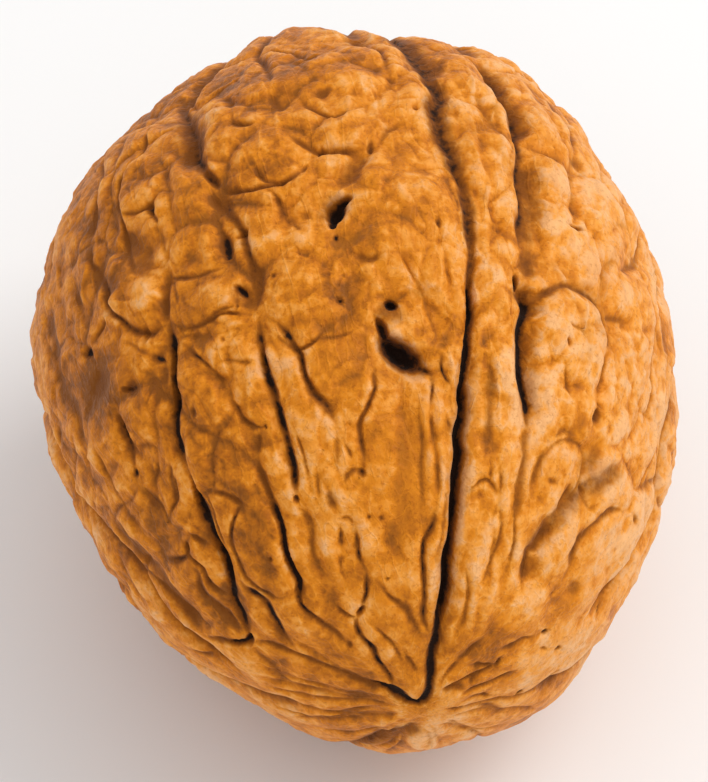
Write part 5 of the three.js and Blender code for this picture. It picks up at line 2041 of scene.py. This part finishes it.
@dataclass
class Walnut:
    """The whole object: one wrinkled shell that stands for the part's one solid."""

    node: str = "walnut"
    body: str = "root"
    slot: str = "shell"
    shell: WrinkledShell = field(default_factory=WrinkledShell)
    finish: ShellFinish = field(default_factory=ShellFinish)

    def build(self) -> bpy.types.Object:
        """Models the shell, gives it its finish and ties it to the part.

        Returns:
            The finished piece.
        """
        piece = self.shell.build()
        piece.data.materials.clear()
        piece.data.materials.append(self.finish.material())
        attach(piece, self.body)
        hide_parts(self.node)
        LOG.info("%s: %d triangles", piece.name, len(piece.data.polygons))
        return piece


@dataclass(frozen=True)
class Lamp:
    """One soft square light, aimed at the nut. Metres and watts."""

    name: str
    towards: tuple[float, float, float]
    distance: float
    size: float
    power: float
    colour: Colour = (1.0, 1.0, 1.0)


@dataclass
class Studio:
    """Pale floor, soft lights and the camera."""

    floor_size: float = 8.0
    floor_finish: FloorFinish = field(default_factory=FloorFinish)
    sky_strength: float = 0.74
    lamps: tuple[Lamp, ...] = (
        Lamp("key", (0.62, 0.10, 0.80), 0.50, 0.32, 1.30, (1.0, 0.985, 0.96)),
        Lamp("front", (-0.25, -0.80, 0.85), 0.60, 0.40, 0.30),
    )
    aim: tuple[float, float, float] = (-0.048, 1.658, 13.714)
    camera_from: tuple[float, float, float] = (-0.0740, -0.6492, 0.7570)
    camera_distance: float = 300.0
    lens: float = 270.2

    def _floor(self) -> None:
        """Lays the floor that the nut stands on."""
        bpy.ops.object.select_all(action="DESELECT")
        bpy.ops.mesh.primitive_plane_add(size=self.floor_size, location=(0.0, 0.0, 0.0))
        floor = bpy.context.active_object
        floor.name = "floor"
        floor.data.materials.append(self.floor_finish.material())
        LOG.info("%s: %.1f m wide", floor.name, self.floor_size)

    def _sky(self) -> None:
        """Surrounds the set with even white light."""
        world = bpy.data.worlds.new("white_room")
        world.use_nodes = True
        shade = world.node_tree.nodes["Background"]
        shade.inputs["Color"].default_value = (1.0, 1.0, 1.0, 1.0)
        shade.inputs["Strength"].default_value = self.sky_strength
        bpy.context.scene.world = world

    def _lights(self) -> None:
        """Hangs each lamp and turns it toward the nut."""
        aim = Vector(self.aim) * MM
        for lamp in self.lamps:
            bpy.ops.object.light_add(type="AREA")
            light = bpy.context.active_object
            light.name = lamp.name
            light.data.name = lamp.name
            light.data.size = lamp.size
            light.data.energy = lamp.power
            light.data.color = lamp.colour
            light.visible_camera = False
            direction = Vector(lamp.towards).normalized()
            light.location = aim + direction * lamp.distance
            light.rotation_euler = direction.to_track_quat("Z", "Y").to_euler()
            LOG.info("%s light: %.2f W", lamp.name, lamp.power)

    def _camera(self) -> None:
        """Stands the camera above the tip, looking down at the seam."""
        bpy.ops.object.camera_add()
        camera = bpy.context.active_object
        camera.name = "camera"
        direction = Vector(self.camera_from).normalized()
        camera.location = (Vector(self.aim) + direction * self.camera_distance) * MM
        camera.rotation_euler = direction.to_track_quat("Z", "Y").to_euler()
        camera.data.lens = self.lens
        camera.data.clip_start = 0.01
        camera.data.clip_end = 20.0
        bpy.context.scene.camera = camera

    def build(self) -> None:
        """Sets up the floor, the light and the camera."""
        self._floor()
        self._sky()
        self._lights()
        self._camera()
        bpy.context.scene.view_settings.view_transform = "Standard"


def main() -> None:
    """Builds the walnut and its studio."""
    logging.basicConfig(level=logging.INFO, format="%(name)s %(message)s")
    Walnut().build()
    Studio().build()


if __name__ == "__main__":
    main()
